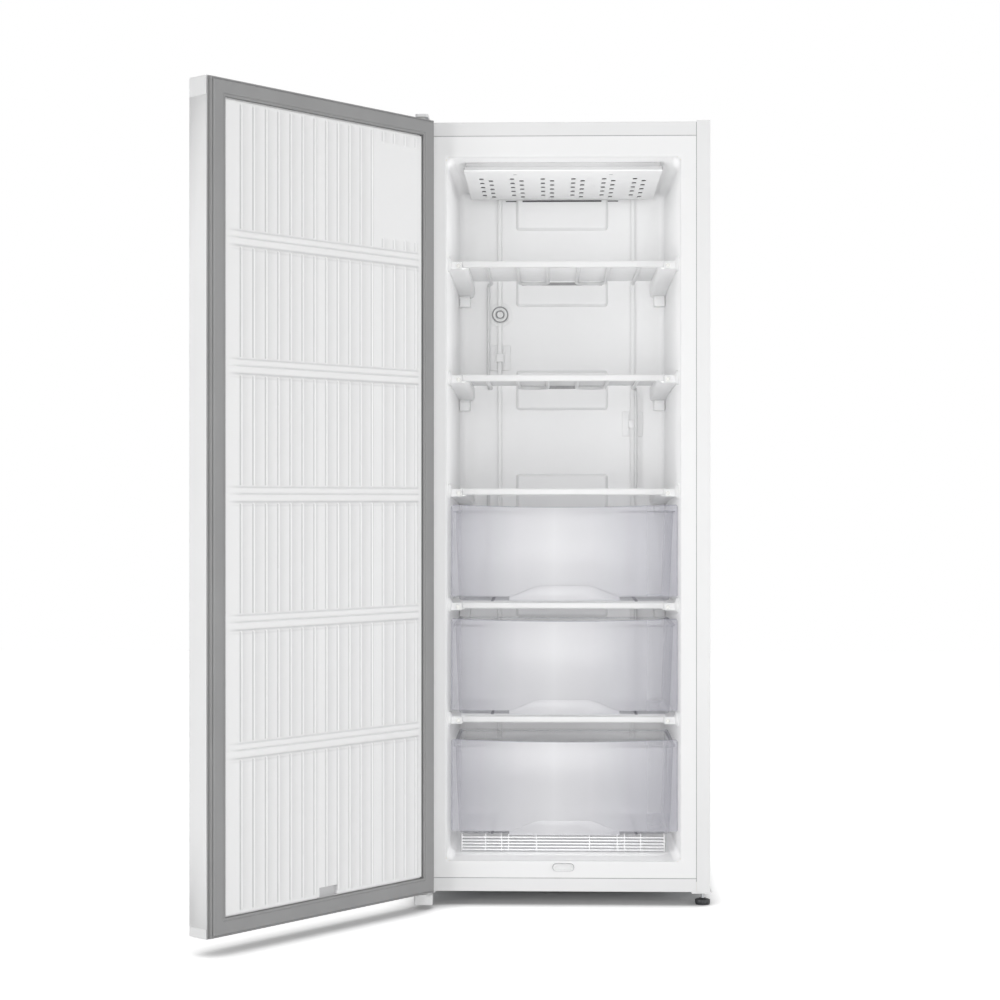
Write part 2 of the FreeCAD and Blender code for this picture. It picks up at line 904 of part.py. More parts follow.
def edge_at(shape, axis, a, b):
    """The straight edge along axis that passes through the two other coordinates a and b."""
    for edge in shape.Edges:
        if len(edge.Vertexes) < 2:
            continue
        p = edge.Vertexes[0].Point
        q = edge.Vertexes[1].Point
        d = q - p
        if axis == "X":
            same = abs(d.y) + abs(d.z) < 1e-6 and abs(p.y - a) < 1e-6 and abs(p.z - b) < 1e-6
        elif axis == "Y":
            same = abs(d.x) + abs(d.z) < 1e-6 and abs(p.x - a) < 1e-6 and abs(p.z - b) < 1e-6
        else:
            same = abs(d.x) + abs(d.y) < 1e-6 and abs(p.x - a) < 1e-6 and abs(p.y - b) < 1e-6
        if same:
            return edge
    raise ValueError("no such edge")


def liner_half_at(y):
    """Half the free width between the liner's side walls at depth y."""
    share = (y - mouth_flare_depth) / (liner_depth - mouth_flare_depth)
    return opening_half - liner_draft * share


def support_section(y, height, top):
    """Corners across one side support at depth y: flat on top, cut back at its free lower edge."""
    wall = liner_half_at(y) - rest_gap
    free = opening_half - support_width
    low = top - height
    return [
        Vector(wall, y, top),
        Vector(wall, y, low),
        Vector(free + support_chamfer, y, low),
        Vector(free, y, low + support_chamfer),
        Vector(free, y, top),
    ]


def shelf_support(top):
    """Right side support: a moulded ledge that deepens to the back, with a socket block below it."""
    ledge_top = top - shelf_wire - rest_gap
    back = liner_depth - rest_gap
    front = support_section(support_front, support_front_height, ledge_top)
    ledge = flat_sided([front, support_section(back, support_back_height, ledge_top)])
    wall = liner_half_at(back) - rest_gap
    low = ledge_top - support_back_height
    socket = block(wall - socket_width, wall, back - socket_depth, back, low - socket_height, low + 1)
    return fuse([ledge, socket])


def shelf_side_supports():
    pieces = []
    for top in shelf_tops:
        right = shelf_support(top)
        pieces += [right, mirrored(right)]
    return group(pieces)


def shelf_end_clip(top):
    """Right end clip: a domed pad on the liner wall and an arm with a round socket beside the bar."""
    wall = liner_half_at(clip_dome_front + clip_dome_depth) - rest_gap
    middle_y = clip_dome_front + clip_dome_depth / 2
    middle = Vector(wall, middle_y, top + clip_dome_rise - clip_dome_height / 2)
    rings = []
    for share, out in ((1.0, 0.0), (0.8, 1.0)):
        ring = []
        for n in range(clip_dome_sides):
            a = 2 * math.pi * (n + 0.5) / clip_dome_sides
            y = share * clip_dome_depth / 2 * math.cos(a)
            z = share * clip_dome_height / 2 * math.sin(a)
            ring.append(middle + Vector(-out * clip_dome_thickness, y, z))
        rings.append(ring)
    dome = flat_sided(rings)
    inner = trim_half + rest_gap
    arm = block(inner, wall - 1, shelf_front, shelf_front + clip_arm_depth, top - clip_arm_height, top - 1)
    hole_x = inner + clip_hole_radius + 2
    hole_z = top - 1 - clip_arm_height / 2
    start = Vector(hole_x, shelf_front - 1, hole_z)
    hole = polygon_rod(start, Vector(0, 1, 0), clip_hole_depth, clip_hole_radius, clip_dome_sides)
    return fuse([dome, arm]).cut(hole)


def shelf_end_clips():
    pieces = []
    for top in shelf_tops:
        right = shelf_end_clip(top)
        pieces += [right, mirrored(right)]
    return group(pieces)


def screw_head(x, y, z, direction):
    """Low round screw head with its flat side at the given point."""
    return polygon_rod(Vector(x, y, z), direction, screw_head_height, screw_head_radius, 8)


# ================================================================ back wall
def rear_posts():
    """Two upright plastic posts in front of the back wall, from the step up to the ceiling cover."""
    low = step_top + rest_gap
    high = opening_top - liner_draft / 2 - rest_gap
    back = liner_depth - rest_gap
    pieces = []
    for x in (post_left, post_right):
        post = block(x - post_width / 2, x + post_width / 2, back - post_depth, back, low, high)
        pieces.append(post)
    return group(pieces)


def post_clips():
    """Flat square clips that hold each post to the wall, cut out to pass behind it."""
    pieces = []
    back = liner_depth - rest_gap
    for x, z in ((post_left, left_clip_centre), (post_right, right_clip_centre)):
        half_w = clip_plate_width / 2
        half_h = clip_plate_height / 2
        plate = block(x - half_w, x + half_w, back - clip_plate_depth, back, z - half_h, z + half_h)
        slot_half = post_width / 2 + rest_gap
        bridge_y = back - post_depth - rest_gap
        slot = block(x - slot_half, x + slot_half, bridge_y, back + 1, 0, body_top)
        side = slot_half + bridge_side
        bridge = block(
            x - side, x + side, bridge_y - bridge_wall, back, z - bridge_height / 2, z + bridge_height / 2
        )
        pieces.append(fuse([plate, bridge]).cut(slot))
    return group(pieces)


def tube_grommet():
    """Round cover in the back wall where the evaporator tubes come through, with a raised ring."""
    back = liner_depth - rest_gap
    y = back - grommet_plate_depth
    back_wards = Vector(0, 1, 0)
    plate_start = Vector(post_left, y, grommet_height)
    plate = polygon_rod(plate_start, back_wards, grommet_plate_depth, grommet_radius, grommet_sides)
    ring_y = y - grommet_ring_depth
    ring_start = Vector(post_left, ring_y, grommet_height)
    ring = polygon_rod(ring_start, back_wards, grommet_ring_depth, grommet_ring_radius, grommet_sides)
    core = polygon_rod(ring_start, back_wards, grommet_ring_depth, grommet_core_radius, grommet_sides)
    slot_half = post_width / 2 + rest_gap
    slot = block(
        post_left - slot_half, post_left + slot_half, ring_y - 2, back + 1, 0, body_top
    )
    left_and_right = fuse([plate, ring.cut(core)]).cut(slot)
    return group(left_and_right.Solids)


def evaporator_links():
    """Upright tube pieces that join one shelf's tube to the next, left and right by turns."""
    pieces = []
    drop = shelf_wire + tube_radius
    for n in range(shelf_count - 1):
        side = 1 if (shelf_count - n) % 2 else -1
        x_run = side * tube_x(tube_run_count - 1)
        x_link = x_run + side * link_tube_offset
        start_y = tube_back - tube_radius + rest_gap
        low = shelf_tops[n] - drop
        high = shelf_tops[n + 1] - drop
        points = [
            Vector(x_run, start_y, low),
            Vector(x_link, link_tube_back, low),
            Vector(x_link, link_tube_back, high),
            Vector(x_run, start_y, high),
        ]
        pieces.append(tube(points, tube_diameter, link_bend_radius, tube_sides))
    return group(pieces)


# ================================================================ ceiling
def ceiling_cover():
    """Slotted plate below the ceiling evaporator, in six pairs of staggered slot columns."""
    half = cover_half
    plate = block(-half, half, cover_front, cover_back, cover_z, cover_z + cover_thickness)
    lip = block(-half, half, cover_front, cover_front + cover_thickness, cover_z, cover_z + cover_lip)
    side = block(half - cover_thickness, half, cover_front, cover_back, cover_z, cover_z + cover_lip)
    pads = []
    for x in (-cover_screw_x, cover_screw_x):
        pad_top = opening_top - liner_draft / 2 * cover_screw_y / liner_depth - rest_gap
        start = Vector(x, cover_screw_y, cover_z)
        pads.append(polygon_rod(start, Vector(0, 0, 1), pad_top - cover_z, cover_pad_radius, 8))
    cover = fuse([plate, lip, side, mirrored(side)] + pads)
    slots = []
    for pair in range(slot_pair_count):
        middle = (pair - (slot_pair_count - 1) / 2) * slot_pair_pitch
        for column in (0, 1):
            x = middle + (column - 0.5) * slot_column_pitch
            for row in range(slot_rows):
                y = slot_first_row + row * slot_row_pitch + column * slot_row_stagger
                slots.append(slot_block(x, y))
    return cover.cut(group(slots))


def slot_block(x, y):
    """Cutter for one slot."""
    w = slot_width / 2
    h = slot_length / 2
    return block(x - w, x + w, y - h, y + h, cover_z - 1, cover_z + cover_thickness + 1)


def liner_screws():
    """Screws of the ceiling cover."""
    pieces = []
    for x in (-cover_screw_x, cover_screw_x):
        pieces.append(screw_head(x, cover_screw_y, cover_z, Vector(0, 0, -1)))
    return group(pieces)


# ================================================================ drawers and stand
def drawer_front(low):
    """Front panel with a sagging upper edge, a finger arch below and short returns at its ends."""
    half = drawer_half
    y = drawer_front_y
    high = low + drawer_front_height
    arch = drawer_arch_width / 2
    top_arc = Part.Arc(Vector(-half, y, high), Vector(0, y, high - drawer_top_dip), Vector(half, y, high))
    arch_arc = Part.Arc(Vector(arch, y, low), Vector(0, y, low + drawer_arch_rise), Vector(-arch, y, low))
    edges = [
        top_arc.toShape(),
        Part.LineSegment(Vector(half, y, high), Vector(half, y, low)).toShape(),
        Part.LineSegment(Vector(half, y, low), Vector(arch, y, low)).toShape(),
        arch_arc.toShape(),
        Part.LineSegment(Vector(-arch, y, low), Vector(-half, y, low)).toShape(),
        Part.LineSegment(Vector(-half, y, low), Vector(-half, y, high)).toShape(),
    ]
    panel = Part.Face(Part.Wire(edges)).extrude(Vector(0, drawer_wall, 0))
    edge = block(half - drawer_wall, half, y, y + drawer_edge_return, low, high - 1)
    return [panel, edge, mirrored(edge)]


def drawer(support):
    """Clear plastic drawer: a drafted tub with a rim and runners, hung behind its front panel."""
    floor = support + rest_gap + runner_height
    rim_z = floor + tub_height
    front = drawer_front_y + drawer_wall
    back = drawer_back
    top_half = tub_top_half
    low_half = tub_bottom_half
    outer = flat_sided(
        [
            rectangle(-low_half, low_half, front + tub_front_setback, back - tub_back_slope, floor),
            rectangle(-top_half, top_half, front, back, rim_z),
        ]
    )
    wall = drawer_wall
    inner = flat_sided(
        [
            rectangle(
                -low_half + wall,
                low_half - wall,
                front + tub_front_setback + wall,
                back - tub_back_slope - wall,
                floor + wall,
            ),
            rectangle(-top_half + wall, top_half - wall, front + wall, back - wall, rim_z),
        ]
    )
    tub = outer.cut(inner)
    rim_outer = block(
        -top_half - tub_rim, top_half + tub_rim, front, back + tub_rim, rim_z - tub_rim_thickness, rim_z
    )
    rim_inner = block(-top_half + wall, top_half - wall, front + wall, back - wall, 0, rim_z + 1)
    rim = rim_outer.cut(rim_inner)
    runners = []
    for x in (-runner_spacing / 2, runner_spacing / 2):
        runners.append(
            block(
                x - runner_width / 2,
                x + runner_width / 2,
                front + tub_front_setback + runner_front_margin,
                back - tub_back_slope - runner_back_margin,
                floor - runner_height,
                floor + 1,
            )
        )
    shape = fuse([tub, rim] + runners + drawer_front(support + drawer_front_rise))
    shape.translate(Vector(drawer_offset, 0, 0))
    return shape


def liner_floor_at(y):
    """Level of the liner's floor at depth y, which rises a little to the back."""
    return opening_bottom + liner_draft / 2 * (y - mouth_flare_depth) / (liner_depth - mouth_flare_depth)


def wire_stand():
    """Low stand of bent wires on the liner floor that carries the lowest drawer."""
    d = stand_wire
    front_low = liner_floor_at(stand_front) + rest_gap
    back_low = liner_floor_at(stand_back) + rest_gap
    cross_z = stand_top - d / 2
    high = cross_z - d
    pieces = []
    for share in stand_upright_shares:
        for side in (-1, 1):
            x = side * share * stand_half
            points = [Vector(x, stand_front, front_low), Vector(x, stand_front, high), Vector(x, stand_back, high)]
            if share == 1:
                points.append(Vector(x, stand_back, back_low))
            pieces.append(tube(points, d, 2 * d, stand_wire_sides))
    rail_low = front_low + d
    for n in range(stand_rails):
        z = rail_low + (high - 2 * d - rail_low) * n / (stand_rails - 1)
        y = stand_front - d
        pieces.append(bar(Vector(-stand_half, y, z), Vector(stand_half, y, z), d, stand_wire_sides))
    first = stand_front + stand_cross_margin
    for n in range(stand_cross_count):
        y = first + (stand_back - first - stand_cross_margin) * n / (stand_cross_count - 1)
        pieces.append(bar(Vector(-stand_half, y, cross_z), Vector(stand_half, y, cross_z), d, stand_wire_sides))
    return group(pieces)


# ================================================================ compressor bay
def compressor_tray():
    """Steel tray between the side panels that carries the compressor and the rear rollers."""
    half = half_width - sheet - panel_gap
    z = body_bottom
    outline = [
        Vector(-half, bay_front + 1, z + tray_flange),
        Vector(-half, bay_front + 1, z),
        Vector(-half, cabinet_depth - 1, z),
        Vector(-half, cabinet_depth - 1, z + tray_flange),
    ]
    middle = Vector(0, bay_front + bay_depth / 2, z + tray_flange)
    tray = flat_sheet_outline(outline, tray_thickness, tray_bend, Vector(2 * half, 0, 0), middle)
    pieces = [tray]
    for side in (-1, 1):
        for shift in (-1, 1):
            x = side * roller_x + shift * (roller_width / 2 + ear_gap + ear_thickness / 2)
            pieces.append(roller_ear(x))
    tray = fuse(pieces)
    for x, y in compressor_foot_places():
        start = Vector(x, y, z - 1)
        hole = polygon_rod(start, Vector(0, 0, 1), tray_thickness + 2, grommet_stud_radius + stud_play, stud_sides)
        tray = tray.cut(hole)
    return tray


def roller_ear(x):
    """One ear under the tray, rounded at its lower end, with the axle hole through it."""
    low = roller_radius
    x0 = x - ear_thickness / 2
    corner = ear_reach * ear_corner_share
    outline = [
        Vector(x0, roller_y - ear_reach, body_bottom + 1),
        Vector(x0, roller_y - ear_reach, low - corner),
        Vector(x0, roller_y - corner, low - ear_reach),
        Vector(x0, roller_y + corner, low - ear_reach),
        Vector(x0, roller_y + ear_reach, low - corner),
        Vector(x0, roller_y + ear_reach, body_bottom + 1),
    ]
    start = Vector(x0 - 1, roller_y, low)
    hole = polygon_rod(start, Vector(1, 0, 0), ear_thickness + 2, roller_axle_radius + ear_hole_play, 8)
    return prism(outline, Vector(ear_thickness, 0, 0)).cut(hole)


def roller(side):
    """Rear roller: a short many-sided wheel, free on its axle."""
    x0 = side * roller_x - roller_width / 2
    wheel = polygon_rod(
        Vector(x0, roller_y, roller_radius),
        Vector(1, 0, 0),
        roller_width,
        roller_radius / math.cos(math.pi / roller_sides),
        roller_sides,
    )
    bore = cylinder(
        x0 - 1, roller_y, roller_radius, roller_axle_radius + spin_gap, roller_width + 2, Vector(1, 0, 0)
    )
    return wheel.cut(bore)


def roller_axles():
    pieces = []
    length = roller_width + 2 * ear_gap + 2 * ear_thickness
    for side in (-1, 1):
        x0 = side * roller_x - length / 2
        pieces.append(polygon_rod(Vector(x0, roller_y, roller_radius), Vector(1, 0, 0), length, roller_axle_radius))
    return group(pieces)


def compressor_foot_places():
    """Plan places of the compressor's four rubber feet."""
    y = bay_front + bay_depth / 2
    s = compressor_foot_spread / 2
    return [(compressor_x + sx * s, y + sy * s * compressor_foot_share) for sx in (-1, 1) for sy in (-1, 1)]


def compressor():
    """Hermetic compressor: two drawn half shells with a seam, on a foot plate."""
    y = bay_front + bay_depth / 2
    z0 = body_bottom + tray_thickness + compressor_lift
    r = compressor_radius
    s = compressor_shoulder
    h = compressor_height
    seam = h * compressor_seam_share
    crown = s * compressor_crown_share
    outline = [
        (r - s, 0),
        (r, s),
        (r, seam),
        (r + compressor_seam_width, seam),
        (r + compressor_seam_width, seam + compressor_seam_height),
        (r - compressor_shell_step, seam + compressor_seam_height),
        (r - compressor_shell_step, h - s),
        (r - compressor_shell_step - crown, h - crown),
        (r - compressor_shell_step - s, h),
    ]
    can = polygon_lathe(Vector(compressor_x, y, z0), Vector(0, 0, 1), outline, compressor_sides)
    spread = compressor_foot_spread / 2 + compressor_foot_width / 2
    t = compressor_foot_thickness
    plates = []
    for sy in (-1, 1):
        yc = y + sy * compressor_foot_spread / 2 * compressor_foot_share
        w = compressor_foot_width / 2
        plates.append(block(compressor_x - spread, compressor_x + spread, yc - w, yc + w, z0 - t, z0 + weld))
    body = fuse([can] + plates)
    for x, yf in compressor_foot_places():
        start = Vector(x, yf, z0 - t - 1)
        body = body.cut(polygon_rod(start, Vector(0, 0, 1), t + 2, grommet_stud_radius + stud_play, stud_sides))
    return body


def compressor_grommets():
    """Four rubber feet with a steel-sleeve stud through plate and tray."""
    pieces = []
    z0 = body_bottom + tray_thickness
    lift = compressor_lift - compressor_foot_thickness
    for x, y in compressor_foot_places():
        foot = polygon_rod(Vector(x, y, z0), Vector(0, 0, 1), lift, grommet_foot_radius, 8)
        stud_length = tray_thickness + lift + compressor_foot_thickness + grommet_stud_end
        stud_start = Vector(x, y, z0 - tray_thickness)
        stud = polygon_rod(stud_start, Vector(0, 0, 1), stud_length, grommet_stud_radius, stud_sides)
        pieces.append(fuse([foot, stud]))
    return group(pieces)


def terminal_box_corner():
    """The terminal box's lowest corner: on the compressor's left, just clear of its seam."""
    flat = (compressor_radius + compressor_seam_width) * math.cos(math.pi / compressor_sides)
    x = compressor_x - flat - rest_gap - terminal_box_width
    y = bay_front + bay_depth / 2 - terminal_box_depth / 2
    return Vector(x, y, body_bottom + tray_thickness + compressor_lift + terminal_box_rise)


def terminal_box():
    """Relay and terminal cover clipped to the compressor's side, with the inlet's hole behind."""
    p = terminal_box_corner()
    c = terminal_box_chamfer
    w = terminal_box_width
    d = terminal_box_depth
    outline = [
        Vector(p.x + w, p.y, p.z),
        Vector(p.x + c, p.y, p.z),
        Vector(p.x, p.y + c, p.z),
        Vector(p.x, p.y + d - c, p.z),
        Vector(p.x + c, p.y + d, p.z),
        Vector(p.x + w, p.y + d, p.z),
    ]
    box = prism(outline, Vector(0, 0, terminal_box_height))
    neck = cord_gland_radius - cord_gland_taper
    start = Vector(p.x + w / 2, p.y + d - cord_gland_neck, p.z + cord_gland_rise)
    return box.cut(polygon_rod(start, Vector(0, 1, 0), cord_gland_neck + 1, neck + panel_gap))


def cord_gland():
    """Rubber inlet in the terminal box where the mains lead enters."""
    p = terminal_box_corner()
    start = Vector(p.x + terminal_box_width / 2, p.y + terminal_box_depth, p.z + cord_gland_rise)
    small = cord_gland_radius - cord_gland_taper
    outline = [
        (small, -cord_gland_neck),
        (small, 0),
        (cord_gland_radius, 0),
        (small, cord_gland_length),
    ]
    body = polygon_lathe(start, Vector(0, 1, 0), outline)
    bore_start = start - Vector(0, cord_gland_neck + 1, 0)
    bore_length = cord_gland_length + cord_gland_neck + 2
    return body.cut(polygon_rod(bore_start, Vector(0, 1, 0), bore_length, cord_gland_bore, 8))


def thermostat_box():
    """Thermostat housing on the tray, reached from behind."""
    z = body_bottom + tray_thickness
    y0 = cabinet_depth - thermostat_setback - thermostat_depth
    half = thermostat_width / 2
    top = z + thermostat_height
    c = thermostat_chamfer
    outline = [
        Vector(thermostat_x - half, y0, z),
        Vector(thermostat_x + half, y0, z),
        Vector(thermostat_x + half, y0, top - c),
        Vector(thermostat_x + half - c, y0, top),
        Vector(thermostat_x - half + c, y0, top),
        Vector(thermostat_x - half, y0, top - c),
    ]
    box = prism(outline, Vector(0, thermostat_depth, 0))
    depth = knob_shaft_length + knob_gap
    y1 = y0 + thermostat_depth
    hole_z = z + thermostat_height / 2
    hole = cylinder(thermostat_x, y1 - depth, hole_z, knob_shaft_radius + spin_gap, depth + 1, Vector(0, 1, 0))
    return box.cut(hole)


def thermostat_knob():
    """Fluted control knob with its shaft in the thermostat."""
    z = body_bottom + tray_thickness + thermostat_height / 2
    y = cabinet_depth - thermostat_setback + knob_gap
    outline = []
    for n in range(2 * knob_flutes):
        a = 2 * math.pi * n / (2 * knob_flutes)
        r = knob_radius if n % 2 else knob_radius - knob_flute_depth
        outline.append(Vector(thermostat_x + r * math.cos(a), y, z + r * math.sin(a)))
    disc = prism(outline, Vector(0, knob_depth, 0))
    shaft = cylinder(thermostat_x, y - knob_shaft_length, z, knob_shaft_radius, knob_shaft_length + 1, Vector(0, 1, 0))
    return fuse([disc, shaft])


# ================================================================ condenser
def condenser_z(run):
    return condenser_bottom + run * condenser_pitch


def condenser_y():
    """Depth of the condenser tube's centre line behind the cabinet."""
    return back_panel_y + sheet + condenser_standoff


def condenser():
    """Wire-and-tube condenser: one long tube to and fro, with upright wires welded on behind."""
    half = condenser_half
    y = condenser_y()
    points = [Vector(-half, y, condenser_z(0))]
    for run in range(condenser_run_count):
        x = half if run % 2 == 0 else -half
        points.append(Vector(x, y, condenser_z(run)))
        if run + 1 < condenser_run_count:
            points.append(Vector(x, y, condenser_z(run + 1)))
    pieces = [tube(points, condenser_tube, condenser_pitch / 2 - 0.05, condenser_tube_sides)]
    wire_y = y + condenser_tube / 2 + condenser_wire / 2
    low = condenser_z(0) - condenser_wire_end
    high = condenser_z(condenser_run_count - 1) + condenser_wire_end
    for n in range(condenser_wire_count):
        x = (n - (condenser_wire_count - 1) / 2) * condenser_wire_pitch
        pieces.append(bar(Vector(x, wire_y, low), Vector(x, wire_y, high), condenser_wire, wire_sides))
    return group(pieces)


def condenser_brackets():
    """Four sheet brackets that stand the condenser off from the back panel."""
    pieces = []
    for run in (bracket_run, condenser_run_count - 1 - bracket_run):
        z = condenser_z(run)
        for side in (-1, 1):
            x = side * back_bead_pitch
            y0 = back_panel_y + sheet
            y1 = condenser_y() - condenser_tube / 2
            w = bracket_width / 2
            t = bracket_thickness
            foot = block(x - w, x + w, y0, y0 + t, z - bracket_foot_length, z + w)
            arm = block(x - w, x + w, y0, y1 + 4, z - condenser_tube / 2 - t, z - condenser_tube / 2)
            pieces.append(fuse([foot, arm]))
    return group(pieces)


def drier_foot():
    """Lowest point of the upright filter drier."""
    return Vector(compressor_x - drier_side, bay_front + drier_back, body_bottom + drier_rise)


def filter_drier():
    """Copper filter drier between the condenser's outlet pipe and the thin capillary tube."""
    tip = pipe_diameter / 2
    outline = [
        (tip, 0),
        (drier_radius, drier_taper),
        (drier_radius, drier_length - drier_taper),
        (tip, drier_length),
    ]
    foot = drier_foot()
    can = polygon_lathe(foot, Vector(0, 0, 1), outline)
    level = bay_top - pipe_ceiling_gap
    start = Vector(-condenser_half - rest_gap, condenser_y(), condenser_z(0))
    side = start.x - pipe_side
    outlet = [
        start,
        Vector(side, start.y, start.z),
        Vector(side, start.y, level),
        Vector(side, foot.y, level),
        Vector(foot.x, foot.y, level),
        foot + Vector(0, 0, drier_length - 1),
    ]
    low = foot.z - capillary_loop
    capillary = [
        foot + Vector(0, 0, 1),
        Vector(foot.x, foot.y, low),
        Vector(foot.x - capillary_loop, foot.y, low),
        Vector(foot.x - capillary_loop, foot.y, bay_top - rest_gap),
    ]
    pieces = [
        can,
        tube(outlet, condenser_tube, pipe_bend, pipe_sides),
        tube(capillary, capillary_diameter, capillary_loop / 3, pipe_sides),
    ]
    return fuse(pieces)


def discharge_pipe():
    """Hot gas pipe from the compressor's side up to the condenser's top end."""
    start = Vector(compressor_x + compressor_radius, bay_front + bay_depth / 2, pipe_start_level())
    end = Vector(condenser_half + rest_gap, condenser_y(), condenser_z(condenser_run_count - 1))
    side = end.x + pipe_side
    points = [
        start,
        Vector(side, start.y, start.z),
        Vector(side, end.y, start.z),
        Vector(side, end.y, end.z),
        end,
    ]
    return tube(points, condenser_tube, pipe_bend, pipe_sides)


def suction_pipe():
    """Cold return pipe from the bay's ceiling down to the compressor's front side."""
    z = pipe_start_level()
    compressor_front = bay_front + bay_depth / 2 - compressor_radius
    y = bay_front + suction_wall_gap
    points = [
        Vector(compressor_x, compressor_front, z),
        Vector(compressor_x, y, z),
        Vector(compressor_x, y, bay_top - rest_gap),
    ]
    return tube(points, pipe_diameter, (compressor_front - y) * suction_bend_share, pipe_sides)


def pipe_start_level():
    """Level at which both pipes leave the compressor's upper shell."""
    return body_bottom + tray_thickness + compressor_lift + compressor_height * pipe_level


# ================================================================ feet
def front_foot():
    """Screw foot: a fluted disc on a steel stem."""
    outline = []
    for n in range(2 * foot_flute_count):
        a = 2 * math.pi * n / (2 * foot_flute_count)
        r = foot_disc_radius if n % 2 else foot_disc_radius - foot_flute_depth
        outline.append(Vector(r * math.cos(a), r * math.sin(a), foot_rim))
    disc = prism(outline, Vector(0, 0, foot_disc_height - foot_rim))
    sole = polygon_rod(Vector(0, 0, 0), Vector(0, 0, 1), foot_rim, foot_disc_radius)
    stem = cylinder(0, 0, foot_disc_height - 1, foot_stem_radius, body_bottom - foot_disc_height + 1)
    return fuse([disc, sole, stem])


# ================================================================ door, drawn shut
def door_profile(inset, top_y):
    """Plan outline of the door's outside, moved inwards by inset, up to the plane top_y."""
    half = door_half - inset
    low = door_outer_y + inset
    r = max(door_edge_radius - inset, 0.5)
    points = [Vector(half, top_y, 0), Vector(-half, top_y, 0)]
    for side in (-1, 1):
        for n in range(corner_steps + 1):
            share = n / corner_steps if side < 0 else 1 - n / corner_steps
            a = math.pi / 2 * share
            points.append(Vector(side * (half - r + r * math.cos(a)), low + r - r * math.sin(a), 0))
    return points


def door_slab(inset, top_y, z0, z1):
    """The door's outline as a solid between two levels."""
    slab = prism(door_profile(inset, top_y), Vector(0, 0, z1 - z0))
    slab.translate(Vector(0, 0, z0))
    return slab


def grip_pocket(grow, y_front):
    """Room of the recessed grip, which is deeper than its mouth towards the free edge."""
    x1 = door_half - grip_edge_distance + grow
    x0 = x1 - grip_width - 2 * grow
    z0 = grip_middle - grip_height / 2 - grow
    z1 = grip_middle + grip_height / 2 + grow
    return block(x0, x1, y_front, door_outer_y + grip_depth + grow, z0, z1)


def door_skin():
    """Painted steel front, folded round both edges and back over the inner face."""
    z0 = door_bottom + bottom_cap_height
    z1 = door_top - top_cap_height
    outer = door_slab(0, door_inner_y, z0, z1)
    inner = door_slab(sheet, door_inner_y - sheet, z0 - 1, z1 + 1)
    gap = door_half - door_return_width
    window = block(-gap, gap, door_inner_y - 5, door_inner_y + 1, z0 - 1, z1 + 1)
    return outer.cut(inner).cut(window).cut(grip_pocket(0, door_outer_y - 5))


def door_cap(z0, z1, closed_at):
    """Plastic end cap: a tray with the door's outline, closed at its outer end."""
    outer = door_slab(0, door_inner_y, z0, z1)
    low = z0 if closed_at == "top" else z0 + cap_wall
    high = z1 - cap_wall if closed_at == "top" else z1
    start = low - 1 if closed_at == "top" else low
    end = high if closed_at == "top" else high + 1
    inner = door_slab(cap_wall, door_inner_y - cap_wall, start, end)
    cap = outer.cut(inner)
    if closed_at == "top":
        boss = pin_rod(z1 - bush_length, bush_length, bush_radius + bush_wall)
        bore = pin_rod(z1 - bush_length - 1, bush_length + 2, bush_radius)
    else:
        boss = pin_rod(z0, bush_length, bush_radius + bush_wall)
        bore = pin_rod(z0 - 1, bush_length + 2, bush_radius)
    return fuse([cap, boss.common(outer)]).cut(bore)


def door_top_cap():
    return door_cap(door_top - top_cap_height, door_top, "top")


def door_bottom_cap():
    return door_cap(door_bottom, door_bottom + bottom_cap_height, "bottom")


def plateau(grow):
    """Raised field of the door liner: a drafted block that reaches into the cabinet's mouth."""
    half = plateau_half + grow
    low = plateau_bottom - grow
    high = plateau_top + grow
    radius = plateau_corner_radius
    draft = plateau_draft
    root = rounded_rectangle(half, low, high, radius, door_inner_y - 1)
    face = rounded_rectangle(half - draft, low + draft, high - draft, radius, plateau_face_y + grow)
    return flat_sided([root, face])


def rib_spans():
    """Free stretches of the liner's ribs, between the cross bands."""
    low = plateau_bottom + plateau_draft + rib_end_gap
    high = plateau_top - plateau_draft - rib_end_gap
    starts = [low] + [c + band_height / 2 for c in band_centres]
    ends = [c - band_height / 2 for c in band_centres] + [high]
    return list(zip(starts, ends))


def rib(x, z0, z1):
    """One upright rib with sloping flanks."""
    y = plateau_face_y - weld
    w = rib_width / 2
    points = [Vector(x - w, y, z0), Vector(x + w, y, z0), Vector(x, y + rib_height + weld, z0)]
    return prism(points, Vector(0, 0, z1 - z0))


def door_ribs():
    """All ribs, left out where the bare panel lies."""
    pieces = []
    for n in range(rib_count):
        x = (n - (rib_count - 1) / 2) * rib_pitch
        for z0, z1 in rib_spans():
            inside_x = bare_panel_left < x < bare_panel_right
            if inside_x and z0 < bare_panel_bottom < z1:
                pieces.append(rib(x, z0, bare_panel_bottom))
            else:
                pieces.append(rib(x, z0, z1))
    return pieces


def door_bands():
    """Cross bands: two round-backed beads side by side over the liner's full width."""
    pieces = []
    half = plateau_half - plateau_draft - band_end_gap
    y = plateau_face_y - weld
    h = bead_height + weld
    for centre in band_centres:
        for shift in (-1, 1):
            z = centre + shift * (band_height - bead_width) / 2
            w = bead_width / 2
            points = [
                Vector(-half, y, z - w),
                Vector(-half, y + h, z - w / 2),
                Vector(-half, y + h, z + w / 2),
                Vector(-half, y, z + w),
            ]
            pieces.append(prism(points, Vector(2 * half, 0, 0)))
    return pieces


def drain_notch(grow):
    """Recess in the door liner that clears the drain's pull tab when the door is shut."""
    half = drain_tab_width / 2 + drain_notch_clear + grow
    low = plateau_bottom - 5
    high = drain_height + drain_tab_height / 2 + drain_notch_clear + grow
    return block(-half, half, door_inner_y + liner_wall + grow, 10, low, high)


